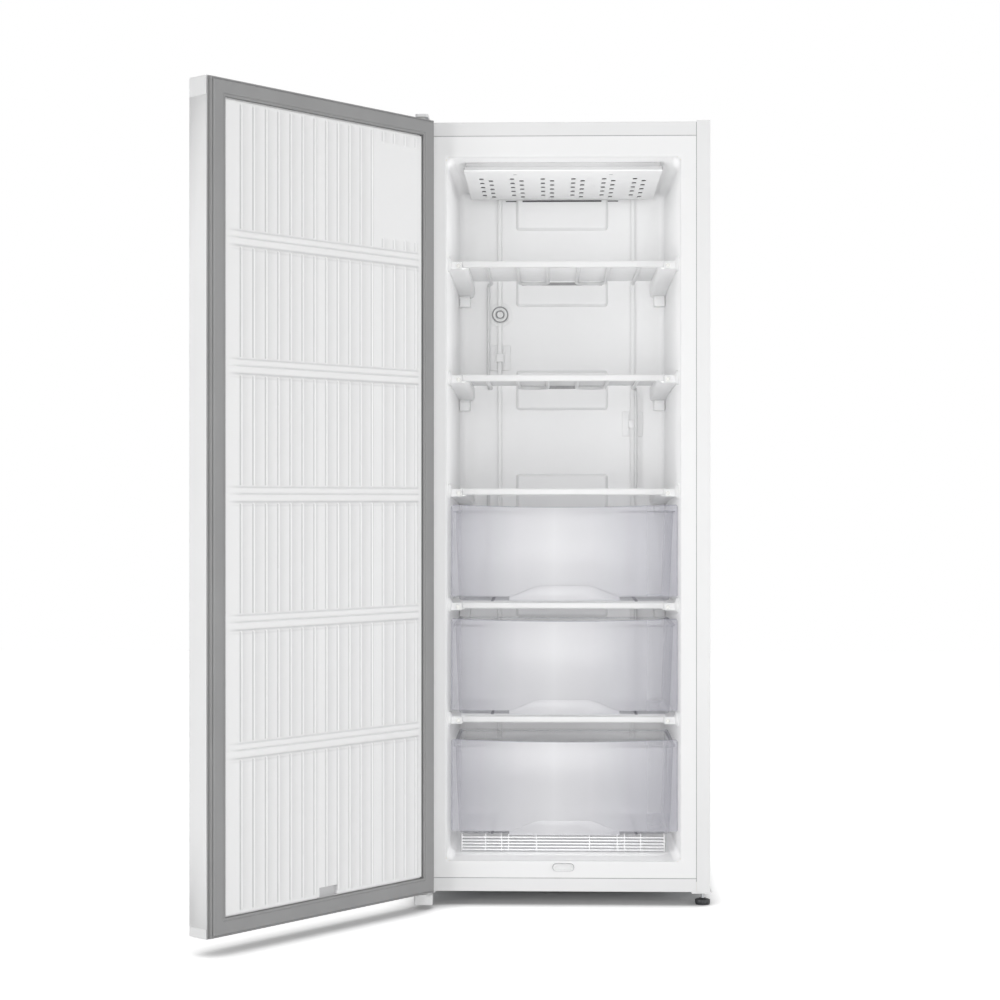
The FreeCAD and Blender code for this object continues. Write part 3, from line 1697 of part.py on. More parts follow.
def door_liner():
    """Thermoformed door liner: a flat rim under the gasket and a ribbed raised field."""
    half = door_half - door_liner_margin
    low = door_bottom + door_liner_margin
    high = door_top - door_liner_margin
    y = door_inner_y
    rim = block(-half, half, y, y + liner_wall, low, high)
    shell = rim.fuse(plateau(0)).cut(plateau(-liner_wall))
    shell = shell.cut(block(-half_width, half_width, y - 5, y, 0, body_top))
    shell = fuse([shell] + door_ribs() + door_bands())
    notch_outer = drain_notch(0)
    bridge = notch_floor()
    return fuse([shell.cut(notch_outer), bridge])


def notch_floor():
    """Walls and floor that close the liner behind the drain notch."""
    outer = drain_notch(liner_wall)
    inner = drain_notch(0)
    limit = plateau(0)
    floor_y = door_inner_y
    half = drain_tab_width / 2 + drain_notch_clear + liner_wall
    low = plateau_bottom - 5
    high = drain_height + drain_tab_height / 2 + drain_notch_clear + liner_wall
    slab = block(-half, half, floor_y, floor_y + liner_wall, low, high)
    sides = outer.cut(inner).common(limit)
    sides = sides.cut(block(-half_width, half_width, door_inner_y - 5, door_inner_y, 0, body_top))
    return fuse([slab] + sides.Solids)


def door_foam():
    """Rigid foam that fills the door between skin, caps and liner."""
    gap = panel_gap
    inset = cap_wall + gap
    core = door_slab(
        inset, door_inner_y - inset, door_bottom + cap_wall + gap, door_top - cap_wall - gap
    )
    middle_low = door_bottom + bottom_cap_height + gap
    middle_high = door_top - top_cap_height - gap
    middle = door_slab(sheet + gap, door_inner_y - sheet - gap, middle_low, middle_high)
    window = door_half - door_return_width - gap
    window_box = block(
        -window, window, door_inner_y - inset - 1, door_inner_y - gap, middle_low, middle_high
    )
    filling = plateau(-liner_wall - gap)
    filling = filling.common(block(-window, window, door_inner_y - 2, 20, middle_low, middle_high))
    foam = fuse([core, middle, window_box, filling])
    foam = foam.cut(grip_pocket(grip_wall + gap, door_outer_y - 5))
    foam = foam.cut(notch_clearance())
    for z in (door_bottom, door_top - bush_length):
        foam = foam.cut(pin_rod(z - 3, bush_length + 6, bush_radius + bush_wall + 2 * gap))
    return foam.Solids[0]


def notch_clearance():
    """Foam left out behind the liner's drain notch."""
    half = drain_tab_width / 2 + drain_notch_clear + liner_wall + panel_gap
    high = drain_height + drain_tab_height / 2 + drain_notch_clear + liner_wall + panel_gap
    return block(-half, half, door_inner_y - panel_gap, 20, door_bottom, high)


def door_gasket():
    """Magnetic seal: a base strip, a narrow bellows neck and the broad sealing face."""
    y = door_inner_y + liner_wall
    x = door_half - gasket_margin_x
    z0 = door_bottom + gasket_margin_z
    z1 = door_top - gasket_margin_z
    face_y = -gasket_gap
    w = gasket_width
    base = frame_ring(x, z0, z1, y + 0.05, y + gasket_base, w, 0)
    neck = frame_ring(x, z0, z1, y + gasket_base - 0.5, y + gasket_base + gasket_neck + 0.5, w, gasket_neck_inset)
    face = frame_ring(x, z0, z1, y + gasket_base + gasket_neck, face_y, w, 0)
    return fuse([base, neck, face])


def frame_ring(x, z0, z1, y0, y1, width, inset):
    """Rectangular frame between two depths; inset narrows it from outside and inside alike."""
    i = inset
    outer = block(-x + i, x - i, y0, y1, z0 + i, z1 - i)
    w = width - i
    inner = block(-x + w, x - w, y0 - 1, y1 + 1, z0 + w, z1 - w)
    return outer.cut(inner)


def door_grip():
    """Recessed grip in the outer face: a moulded pocket with a thin flange over the steel."""
    outer = grip_pocket(-panel_gap, door_outer_y - 1).fuse(grip_pocket(grip_wall, door_outer_y + sheet + panel_gap))
    flange = grip_pocket(grip_flange, door_outer_y - 5).common(
        block(-half_width, half_width, door_outer_y - grip_flange_thickness, door_outer_y, 0, body_top)
    )
    hollow = grip_pocket(-grip_wall, door_outer_y - 5)
    return fuse([outer, flange]).cut(hollow)


def pin_rod(z, length, radius):
    """Many-sided rod about the hinge line."""
    return polygon_rod(Vector(hinge_x, hinge_y, z), Vector(0, 0, 1), length, radius)


def door_bushes():
    """Plastic bushes in both caps, each with a collar that spaces the door from its bracket."""
    top_gap = body_top + hinge_arm_lift - door_top
    top = pin_rod(door_top - bush_length, bush_length + 1, bush_radius)
    top_collar = pin_rod(door_top, top_gap - rest_gap, collar_radius)
    low_gap = door_bottom - body_bottom
    low = pin_rod(door_bottom - 1, bush_length + 1, bush_radius)
    low_collar = pin_rod(body_bottom + rest_gap, low_gap - rest_gap, collar_radius)
    bore_radius = (pin_radius + spin_gap) / math.cos(math.pi / small_round_sides)
    bore_length = bush_length + collar_radius + top_gap
    bore_top = pin_rod(door_top - pin_reach - 1, bore_length, bore_radius)
    bore_low = pin_rod(body_bottom - 1, low_gap + pin_reach + 2, bore_radius)
    upper = fuse([top, top_collar]).cut(bore_top)
    lower = fuse([low, low_collar]).cut(bore_low)
    return group([upper, lower])


# ================================================================ hinges
def hinge_arm(z, thickness, y_back, grow=0.0):
    """Flat hinge arm from over the cabinet forward to the pin, with a round nose."""
    x_left = -half_width + hinge_arm_edge - grow
    x_right = -half_width + hinge_arm_width + grow
    y_front = hinge_y - hinge_arm_nose - grow
    arm = block(x_left, x_right, y_front, y_back, z, z + thickness)
    corners = [edge_at(arm, "Z", x_left, y_front), edge_at(arm, "Z", x_right, y_front)]
    return arm.makeFillet(hinge_arm_round, corners)


def top_hinge():
    """Upper hinge bracket: an arm on a raised pad screwed to the top, with a downward pin."""
    z = body_top + hinge_arm_lift
    arm = hinge_arm(z, hinge_plate, hinge_foot_length)
    pad = hinge_arm(top_panel_z, z - top_panel_z + 1, hinge_foot_length)
    pad = pad.common(block(-half_width, half_width, hinge_pad_front, hinge_foot_length, 0, body_top + hinge_plate))
    pin_low = door_top - pin_reach
    pin = cylinder(hinge_x, hinge_y, pin_low, pin_radius, z + 1 - pin_low)
    return fuse([arm, pad, pin])


def top_hinge_cover():
    """Slim white cover that snaps over the upper hinge arm."""
    z = body_top + hinge_arm_lift
    wall = hinge_cover_wall
    gap = hinge_cover_gap
    height = hinge_cover_height
    outer = hinge_arm(z, height, hinge_foot_length + wall + gap, wall + gap)
    inner = hinge_arm(z - 1, height + 1 - wall, hinge_foot_length + gap, gap)
    return outer.cut(inner)


def hinge_screws():
    """Low screw heads on the upper bracket."""
    pieces = []
    x = -half_width + (hinge_arm_width + hinge_arm_edge) / 2
    z = body_top + hinge_arm_lift + hinge_plate
    for n in range(2):
        start = Vector(x, hinge_screw_first + n * hinge_screw_pitch, z)
        pieces.append(polygon_rod(start, Vector(0, 0, 1), hinge_screw_height, hinge_screw_radius, 6))
    return group(pieces)


def bottom_hinge():
    """Lower hinge bracket under the cabinet, with a front skirt, an upward pin and a foot hole."""
    t = foot_plate_thickness
    z = body_bottom - t
    arm = hinge_arm(z, t, hinge_foot_length)
    wide = block(
        -half_width,
        -half_width + foot_plate_width - foot_plate_overhang,
        foot_plate_front,
        hinge_foot_length,
        z,
        body_bottom,
    )
    y_front = hinge_y - hinge_arm_nose
    x_left = -half_width + hinge_arm_edge
    x_right = -half_width + hinge_arm_width
    low = body_bottom - hinge_skirt
    skirt = block(
        x_left + hinge_arm_round,
        x_right - hinge_arm_round,
        y_front,
        y_front + hinge_plate,
        low,
        body_bottom - 1,
    )
    side = block(x_left, x_left + hinge_side_width, y_front + hinge_arm_round, 0, low, body_bottom - 1)
    pin = cylinder(hinge_x, hinge_y, body_bottom - 1, pin_radius, door_bottom - body_bottom + 1 + pin_reach)
    hole = cylinder(-foot_x, foot_y, 0, foot_stem_radius + spin_gap, body_bottom + 5)
    return fuse([arm, wide, skirt, side, pin]).cut(hole)


# ================================================================ assembly
def all_nodes():
    """Every sub-part by name, in the working frame with the door shut."""
    side = side_panel()
    nodes = {
        "side_panel_right": side,
        "side_panel_left": mirrored(side),
        "top_panel": top_panel(),
        "bottom_rail": bottom_rail(),
        "back_panel": back_panel(),
        "base_pan": base_pan(),
        "cabinet_foam": cabinet_foam(),
        "inner_liner": inner_liner(),
        "drain_spout": drain_spout(),
        "ceiling_cover": ceiling_cover(),
        "ceiling_cover_screws": liner_screws(),
        "shelf_side_supports": shelf_side_supports(),
        "shelf_end_clips": shelf_end_clips(),
        "rear_posts": rear_posts(),
        "post_clips": post_clips(),
        "tube_grommet": tube_grommet(),
        "evaporator_links": evaporator_links(),
        "wire_stand": wire_stand(),
        "compressor_tray": compressor_tray(),
        "compressor": compressor(),
        "compressor_grommets": compressor_grommets(),
        "terminal_box": terminal_box(),
        "cord_gland": cord_gland(),
        "thermostat_box": thermostat_box(),
        "thermostat_knob": thermostat_knob(),
        "condenser": condenser(),
        "condenser_brackets": condenser_brackets(),
        "filter_drier": filter_drier(),
        "discharge_pipe": discharge_pipe(),
        "suction_pipe": suction_pipe(),
        "roller_axles": roller_axles(),
        "rear_roller_left": roller(-1),
        "rear_roller_right": roller(1),
        "top_hinge": top_hinge(),
        "top_hinge_cover": top_hinge_cover(),
        "hinge_screws": hinge_screws(),
        "bottom_hinge": bottom_hinge(),
    }
    for n, top in enumerate(reversed(shelf_tops)):
        nodes["evaporator_shelf_%d" % (n + 1)] = evaporator_shelf(top)
        nodes["shelf_trim_%d" % (n + 1)] = shelf_trim(top)
    for n, support in enumerate(drawer_supports):
        nodes["drawer_%d" % (n + 1)] = drawer(support)
    for name, sign in (("left", -1), ("right", 1)):
        foot = front_foot()
        foot.translate(Vector(sign * foot_x, foot_y, 0))
        nodes["front_foot_" + name] = foot
    return nodes


def door_nodes():
    """The pieces that swing with the door, drawn shut."""
    return {
        "door_skin": door_skin(),
        "door_top_cap": door_top_cap(),
        "door_bottom_cap": door_bottom_cap(),
        "door_foam": door_foam(),
        "door_liner": door_liner(),
        "door_gasket": door_gasket(),
        "door_grip": door_grip(),
        "door_bushes": door_bushes(),
    }


def opened(shape):
    """The same piece with the door swung open about its pins."""
    shape = shape.copy()
    shape.rotate(Vector(hinge_x, hinge_y, 0), Vector(0, 0, 1), -door_open_angle)
    return shape


def main():
    os.makedirs("parts", exist_ok=True)
    nodes = all_nodes()
    for name, shape in door_nodes().items():
        nodes[name] = opened(shape)
    box = FreeCAD.BoundBox()
    for shape in nodes.values():
        box.add(shape.BoundBox)
    shift = Vector(-(box.XMin + box.XMax) / 2, -(box.YMin + box.YMax) / 2, 0)
    print("box", box)
    print("shift", shift)
    print("hinge", hinge_x + shift.x, hinge_y + shift.y)
    for name, shape in nodes.items():
        shape = shape.copy()
        shape.translate(shift)
        if not shape.isValid():
            print("not valid:", name)
        if len(shape.Solids) == 0:
            print("no solid:", name)
        shape.exportStep("parts/" + name + ".step")
        print("%-24s %3d solids %12.1f mm3" % (name, len(shape.Solids), shape.Volume))


main()
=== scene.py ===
"""Looks of the upright freezer: smooth surfaces, wires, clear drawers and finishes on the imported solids.

Lengths in this file are millimetres of the maker's drawing: X across from the cabinet's middle,
Y from the front flange to the back, Z up from the floor, and the door drawn shut. placed() and
swung() carry them into the frame's metres.
"""

import json
import math

import bmesh
import bpy
import numpy as np
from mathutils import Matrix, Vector


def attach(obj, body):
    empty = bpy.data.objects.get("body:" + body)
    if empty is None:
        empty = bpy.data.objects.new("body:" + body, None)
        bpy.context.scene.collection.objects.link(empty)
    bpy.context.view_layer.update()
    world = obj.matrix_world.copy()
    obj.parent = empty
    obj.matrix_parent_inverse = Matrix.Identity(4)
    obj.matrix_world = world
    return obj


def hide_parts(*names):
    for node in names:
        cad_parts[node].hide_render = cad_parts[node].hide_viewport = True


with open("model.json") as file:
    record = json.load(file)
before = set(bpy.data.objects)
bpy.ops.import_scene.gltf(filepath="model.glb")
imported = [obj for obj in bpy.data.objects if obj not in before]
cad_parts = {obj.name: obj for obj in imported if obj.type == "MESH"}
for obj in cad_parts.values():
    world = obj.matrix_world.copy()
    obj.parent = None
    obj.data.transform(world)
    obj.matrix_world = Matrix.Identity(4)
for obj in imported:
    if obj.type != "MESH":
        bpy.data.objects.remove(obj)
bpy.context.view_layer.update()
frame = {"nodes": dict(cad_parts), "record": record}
nodes = frame["nodes"]

PLAN_SHIFT = np.array([190.43822, -58.86542, 0.0])
HINGE = np.array([-290.2, -35.7, 0.0])
DOOR_OPEN = math.radians(129.6)

# ------------------------------------------------------------------ sizes taken from the solids
BODY_LOW = 29.0
MOUTH = 239.3                       # half the opening's width
MOUTH_LOW, MOUTH_HIGH = 91.0, 1531.0
LINER_DEPTH = 485.0
STEP_FRONT, STEP_TOP = 362.0, 285.0
SHELF_TOPS = [1324.5, 1089.0, 853.5, 618.0, 382.5]
SHELF_BAR_HALF = 208.0
RUN_PITCH = 64.0                    # between two front-to-back runs of a shelf's tube
TUBE_DROP = 6.4                     # from a shelf's top down to its tube's centre
BACK_WALL = 484.6                   # where fittings meet the liner's back wall
POSTS = (-141.0, 160.0)
STAND_TOP = 133.0
DRAWER_SHIFT = 2.5                  # the drawers stand this much right of the middle
FRONT_HALF = 233.5                  # half a drawer front's width
DRAWER_FLOORS = [SHELF_TOPS[3], SHELF_TOPS[4], STAND_TOP]
CONDENSER_RUNS = [330.0 + 76.0 * n for n in range(15)]
CONDENSER_TUBE = 622.8              # depth of the condenser tube's centre
COMPRESSOR = (90.0, 497.5)
DIAL = (-215.0, 67.0)               # the knob's axis: across and up
GRIP = (220.0, 264.0, 735.0, 965.0)  # the grip's opening: left, right, low, high
DOOR_INSIDE, DOOR_FACE = -14.0, -64.0


# ------------------------------------------------------------------ from the drawing to the frame
def placed(points):
    """Drawing millimetres to frame metres: add the plan shift, then divide by a thousand."""
    return (np.asarray(points, float) + PLAN_SHIFT) / 1000.0


def swung(points):
    """Door pieces, drawn shut: turned clockwise about the hinge line by the open angle, then placed."""
    arm = np.asarray(points, float) - HINGE
    c, s = math.cos(DOOR_OPEN), math.sin(DOOR_OPEN)
    x, y, z = np.moveaxis(arm, -1, 0)
    return placed(np.stack([x * c + y * s, y * c - x * s, z], -1) + HINGE)


class Form:
    """Corners and faces of several surfaces, gathered before they become one mesh."""

    def __init__(self):
        self.corners = []
        self.faces = []
        self.count = 0

    def add(self, points, *faces):
        points = np.asarray(points, float).reshape(-1, 3)
        self.corners.append(points)
        self.faces += [np.atleast_2d(np.asarray(f, int)) + self.count for f in faces]
        self.count += len(points)
        return self


def grid_faces(rows, columns, wrap_rows=False, wrap_columns=False):
    """Four-sided faces between neighbours of a rows by columns grid, closed on itself where asked."""
    r = np.arange(rows if wrap_rows else rows - 1)
    c = np.arange(columns if wrap_columns else columns - 1)
    r, c = (a.ravel() for a in np.meshgrid(r, c, indexing="ij"))
    below, beside = (r + 1) % rows, (c + 1) % columns
    here, next_row = r * columns, below * columns
    return np.stack([here + c, here + beside, next_row + beside, next_row + c], -1)


def rings(form, points, wrap_rings=False, capped=True):
    """A skin through rings of corners, shaped (rings, corners, 3), with flat ends where capped."""
    count, sides = points.shape[:2]
    faces = [grid_faces(count, sides, wrap_rings, True)]
    if capped and not wrap_rings:
        faces += [np.arange(sides)[::-1], np.arange(sides) + (count - 1) * sides]
    return form.add(points, *faces)


def on_axis(flat, heights, axis):
    """Outline corners (…, 2) and heights (…) as points whose heights run along X, Y or Z."""
    a, b = flat[..., 0], flat[..., 1]
    h = np.broadcast_to(heights, a.shape)
    order = {"X": (h, a, b), "Y": (a, h, b), "Z": (a, b, h)}[axis]
    return np.stack(order, -1)


def rounded(x0, x1, y0, y1, radius, steps=5):
    """Outline of a rectangle with quarter-circle corners, counter-clockwise."""
    turn = np.linspace(0, math.pi / 2, steps + 1)
    starts = np.arange(4)[:, None] * math.pi / 2 + turn
    centre_x = np.array([x1 - radius, x0 + radius, x0 + radius, x1 - radius])[:, None]
    centre_y = np.array([y1 - radius, y1 - radius, y0 + radius, y0 + radius])[:, None]
    corners = np.stack([centre_x + radius * np.cos(starts), centre_y + radius * np.sin(starts)], -1)
    return corners.reshape(-1, 2)


def circle(x, y, radius, sides=32):
    """Corners evenly round a circle."""
    a = np.arange(sides) * 2 * math.pi / sides
    return np.stack([x + radius * np.cos(a), y + radius * np.sin(a)], -1)


def drawn_in(outline, amount):
    """The outline moved inwards: each corner slides along the mean of its two edges' normals."""
    ahead = np.roll(outline, -1, 0) - outline
    ahead = ahead / np.maximum(np.linalg.norm(ahead, axis=1, keepdims=True), 1e-9)
    behind = np.roll(ahead, 1, 0)
    inward = np.stack([-ahead[:, 1] - behind[:, 1], ahead[:, 0] + behind[:, 0]], -1)
    size = np.maximum((inward ** 2).sum(1, keepdims=True), 0.6)
    return outline + inward * (2.0 / size) * amount


def stacked(form, outlines, heights, axis, centre=(0.0, 0.0, 0.0), wrap=False):
    """A skin through outlines set one after another at the given heights along the axis."""
    points = on_axis(np.asarray(outlines), np.asarray(heights, float)[:, None], axis)
    return rings(form, points + np.asarray(centre, float), wrap)


def shrunk(form, outline, insets, heights, axis):
    """A skin through one outline, drawn in by each inset at its height along the axis."""
    return stacked(form, np.stack([drawn_in(outline, i) for i in insets]), heights, axis)


def slab(form, outline, low, high, axis, edge=0.8, steps=3):
    """An outline drawn out along an axis, its rims rounded: inset edge(1-sin a), height edge(1-cos a)."""
    a = np.linspace(0, math.pi / 2, steps + 1)
    inset = edge * (1 - np.sin(a))
    lift = edge * (1 - np.cos(a))
    heights = np.concatenate([low + lift, (high - lift)[::-1]])
    return shrunk(form, outline, np.concatenate([inset, inset[::-1]]), heights, axis)


def on_side(side, near, far, *rest):
    """A rounded outline from near to far off the middle, on the left (side -1) or the right (side 1)."""
    return rounded(*sorted((side * near, side * far)), *rest)


def turned(form, centre, axis, radii, heights, sides=40, wrap=False):
    """A turned piece: circles of the given radii at the given heights along the axis."""
    flat = circle(0, 0, 1.0, sides)[None] * np.asarray(radii, float)[:, None, None]
    return stacked(form, flat, heights, axis, centre, wrap)


def line_with_bends(corners, radius, steps=8):
    """A route whose inner corners become arcs: start, the arcs' points in order, end."""
    p = np.asarray(corners, float)
    back, ahead = p[:-2] - p[1:-1], p[2:] - p[1:-1]
    back = back / np.linalg.norm(back, axis=1, keepdims=True)
    ahead = ahead / np.linalg.norm(ahead, axis=1, keepdims=True)
    half = np.arccos(np.clip((back * ahead).sum(1), -1, 1)) / 2
    bisector = back + ahead
    bisector = bisector / np.linalg.norm(bisector, axis=1, keepdims=True)
    centre = p[1:-1] + bisector * (radius / np.sin(half))[:, None]
    first = p[1:-1] + back * (radius / np.tan(half))[:, None] - centre
    last = p[1:-1] + ahead * (radius / np.tan(half))[:, None] - centre
    turn = math.pi - 2 * half
    a = turn[:, None] * np.linspace(0, 1, steps + 1)
    share_first = (np.sin(turn[:, None] - a) / np.sin(turn)[:, None])[..., None]
    share_last = (np.sin(a) / np.sin(turn)[:, None])[..., None]
    arcs = centre[:, None] + first[:, None] * share_first + last[:, None] * share_last
    return np.concatenate([p[:1], arcs.reshape(-1, 3), p[-1:]])


def spokes(along, sides):
    """Unit spokes evenly round each direction, measured from its cross product with a slanting line."""
    side = np.cross(along, np.array([0.53, 0.31, 0.79]))
    side = side / np.linalg.norm(side, axis=1, keepdims=True)
    a = np.arange(sides) * 2 * math.pi / sides
    return side[:, None] * np.cos(a)[:, None] + np.cross(along, side)[:, None] * np.sin(a)[:, None]


def pipe(form, line, radius, sides=12):
    """A round bar along a line: circles square to the mean direction at each point of the line."""
    step = np.diff(line, axis=0)
    keep = np.concatenate([[True], np.linalg.norm(step, axis=1) > 0.05])
    line = line[keep]
    step = np.diff(line, axis=0)
    step = step / np.linalg.norm(step, axis=1, keepdims=True)
    along = np.concatenate([step[:1], step[:-1] + step[1:], step[-1:]])
    along = along / np.linalg.norm(along, axis=1, keepdims=True)
    return rings(form, line[:, None] + radius * spokes(along, sides))


def wires(form, starts, ends, radius, sides=8):
    """Straight round wires between paired points, made at once, with closed ends."""
    starts, ends = np.asarray(starts, float), np.asarray(ends, float)
    along = ends - starts
    along = along / np.linalg.norm(along, axis=1, keepdims=True)
    around = radius * spokes(along, sides)
    points = np.stack([starts[:, None] + around, ends[:, None] + around], 1)
    base = np.arange(len(starts))[:, None] * 2 * sides
    walls = (base[:, :, None] + grid_faces(2, sides, False, True)[None]).reshape(-1, 4)
    lids = np.concatenate([base + np.arange(sides)[::-1], base + sides + np.arange(sides)])
    return form.add(points, walls, lids)


def piece(name, form, slot, replaces=(), body="cabinet", finish=None, smooth=35.0, wall=0.0):
    """Makes the mesh, turns its faces outwards, finishes it and lets it ride on its body.

    smooth is the greatest angle in degrees that is shaded as round, and wall a thickness in millimetres.
    """
    corners = np.concatenate(form.corners)
    corners = swung(corners) if body == "door" else placed(corners)
    loops = np.concatenate([f.ravel() for f in form.faces])
    totals = np.concatenate([np.full(len(f), f.shape[1]) for f in form.faces])
    mesh = bpy.data.meshes.new(name)
    mesh.vertices.add(len(corners))
    mesh.vertices.foreach_set("co", corners.ravel())
    mesh.loops.add(len(loops))
    mesh.loops.foreach_set("vertex_index", loops)
    mesh.polygons.add(len(totals))
    mesh.polygons.foreach_set("loop_start", np.concatenate([[0], np.cumsum(totals)[:-1]]))
    mesh.update(calc_edges=True)
    mesh.validate()
    shape = bmesh.new()
    shape.from_mesh(mesh)
    bmesh.ops.remove_doubles(shape, verts=shape.verts, dist=1e-6)
    bmesh.ops.recalc_face_normals(shape, faces=shape.faces)
    shape.to_mesh(mesh)
    shape.free()
    mesh.polygons.foreach_set("use_smooth", np.full(len(mesh.polygons), smooth > 0))
    mesh.set_sharp_from_angle(angle=math.radians(smooth))
    mesh.materials.append(finish or finishes[slot])
    made = bpy.data.objects.new(name, mesh)
    bpy.context.scene.collection.objects.link(made)
    if wall:
        thick = made.modifiers.new("wall", "SOLIDIFY")
        thick.thickness = wall / 1000.0
        thick.offset = -1.0
    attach(made, body)
    if replaces:
        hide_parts(*replaces)
    return made


# ------------------------------------------------------------------ finishes
class Nodes:
    """Node tree of a material or a world, with short calls for the nodes that are used here."""

    def __init__(self, name, made=bpy.data.materials, out="ShaderNodeOutputMaterial"):
        self.material = made.new(name)
        self.material.use_nodes = True
        self.tree = self.material.node_tree
        self.tree.nodes.clear()
        self.out = self.node(out)
        self.place = self.node("ShaderNodeTexCoord").outputs["Object"]

    def node(self, kind, **settings):
        made = self.tree.nodes.new(kind)
        for key, value in settings.items():
            setattr(made, key, value)
        return made

    def link(self, a, b):
        self.tree.links.new(a, b)

    def stretched(self, scale):
        """Object coordinates in metres, multiplied along each axis."""
        mapping = self.node("ShaderNodeMapping")
        mapping.inputs["Scale"].default_value = scale
        self.link(self.place, mapping.inputs["Vector"])
        return mapping.outputs["Vector"]

    def noise(self, scale, detail=2.0, rough=0.5, stretch=None):
        grain = self.node("ShaderNodeTexNoise")
        grain.inputs["Scale"].default_value = scale
        grain.inputs["Detail"].default_value = detail
        grain.inputs["Roughness"].default_value = rough
        self.link(self.place if stretch is None else self.stretched(stretch), grain.inputs["Vector"])
        return grain.outputs["Fac"]

    def cells(self, scale):
        mosaic = self.node("ShaderNodeTexVoronoi")
        mosaic.inputs["Scale"].default_value = scale
        self.link(self.place, mosaic.inputs["Vector"])
        return mosaic.outputs

    def ramp(self, value, stops):
        shade = self.node("ShaderNodeValToRGB")
        line = shade.color_ramp
        line.elements[0].position, line.elements[0].color = stops[0][0], (*stops[0][1], 1)
        line.elements[1].position, line.elements[1].color = stops[-1][0], (*stops[-1][1], 1)
        for position, colour in stops[1:-1]:
            line.elements.new(position).color = (*colour, 1)
        self.link(value, shade.inputs["Fac"])
        return shade.outputs["Color"]

    def spread(self, value, low, high):
        """A value of 0 to 1 carried over to low to high."""
        across = self.node("ShaderNodeMapRange")
        across.inputs["To Min"].default_value = low
        across.inputs["To Max"].default_value = high
        self.link(value, across.inputs["Value"])
        return across.outputs["Result"]

    def bump(self, value, depth, under=None):
        relief = self.node("ShaderNodeBump")
        relief.inputs["Distance"].default_value = depth
        self.link(value, relief.inputs["Height"])
        if under is not None:
            self.link(under, relief.inputs["Normal"])
        return relief.outputs["Normal"]

    def shader(self, colour=None, roughness=None, normal=None, **constants):
        surface = self.node("ShaderNodeBsdfPrincipled")
        for key, value in constants.items():
            surface.inputs[key.replace("_", " ")].default_value = value
        for key, value in (("Base Color", colour), ("Roughness", roughness), ("Normal", normal)):
            if value is not None:
                self.link(value, surface.inputs[key])
        return surface

    def combined(self, operation, a, b):
        """One arithmetic node over two outputs."""
        step = self.node("ShaderNodeMath", operation=operation)
        self.link(a, step.inputs[0])
        self.link(b, step.inputs[1])
        return step.outputs[0]

    def seen_directly(self):
        """One where a camera ray, a reflection or a look through glass meets the surface."""
        rays = self.node("ShaderNodeLightPath").outputs
        first = self.combined("MAXIMUM", rays["Is Camera Ray"], rays["Is Glossy Ray"])
        return self.combined("MAXIMUM", first, rays["Is Transmission Ray"])

    def mixed(self, share, first, second):
        """Two surfaces mixed by a share of the second."""
        mix = self.node("ShaderNodeMixShader")
        for number, value in enumerate((share, first.outputs[0], second.outputs[0])):
            self.link(value, mix.inputs[number])
        return mix

    def done(self, surface):
        self.link(surface.outputs[0], self.out.inputs["Surface"])
        return self.material


def tint(colour, share):
    """A colour brightened or darkened by a share."""
    return tuple(min(1.0, c * (1 + share)) for c in colour)


def coated(name, colour, rough, grain, depth, cloud=6.0, spread=0.012):
    """A coat or moulding: faint cloudy tone, fine orange peel in the relief, slightly uneven gloss."""
    n = Nodes(name)
    tone = n.ramp(n.noise(cloud, 3.0), [(0.3, tint(colour, -spread)), (0.7, tint(colour, spread))])
    gloss = n.spread(n.noise(cloud * 9, 4.0), *rough)
    relief = n.bump(n.noise(grain, 2.0), depth)
    return n.done(n.shader(tone, gloss, relief))


def metal(name, dark, light, scale, stretch=(1, 1, 1), rough=(0.25, 0.45), depth=0.00004):
    """Bare metal: streaked tone and gloss from noise drawn out along the rolling or drawing direction."""
    n = Nodes(name)
    streak = n.noise(scale, 5.0, 0.6, stretch)
    tone = n.ramp(streak, [(0.25, dark), (0.75, light)])
    return n.done(n.shader(tone, n.spread(streak, *rough), n.bump(streak, depth), Metallic=1.0))


def spangled_zinc():
    """Hot-dipped sheet: crystal flowers as cells of differing grey, each with its own gloss."""
    n = Nodes("spangled zinc sheet")
    flower = n.cells(150.0)
    shade = n.node("ShaderNodeSeparateColor")
    n.link(flower["Color"], shade.inputs["Color"])
    tone = n.ramp(shade.outputs["Red"], [(0.0, (0.62, 0.635, 0.65)), (1.0, (0.72, 0.735, 0.75))])
    gloss = n.spread(shade.outputs["Green"], 0.42, 0.54)
    return n.done(n.shader(tone, gloss, n.bump(flower["Distance"], 0.00004), Metallic=0.85))


def compressor_black():
    """Dipped black enamel: slow runs down the wall, fine grain and dust greyed on upward noise."""
    n = Nodes("black enamel")
    runs = n.noise(30.0, 3.0, 0.5, (1, 1, 0.25))
    dust = n.ramp(n.noise(60.0, 5.0, 0.7), [(0.45, (0.018, 0.018, 0.02)), (0.8, (0.055, 0.055, 0.06))])
    relief = n.bump(n.noise(700.0), 0.00005, under=n.bump(runs, 0.0006))
    return n.done(n.shader(dust, n.spread(runs, 0.22, 0.42), relief, Coat_Weight=0.25))


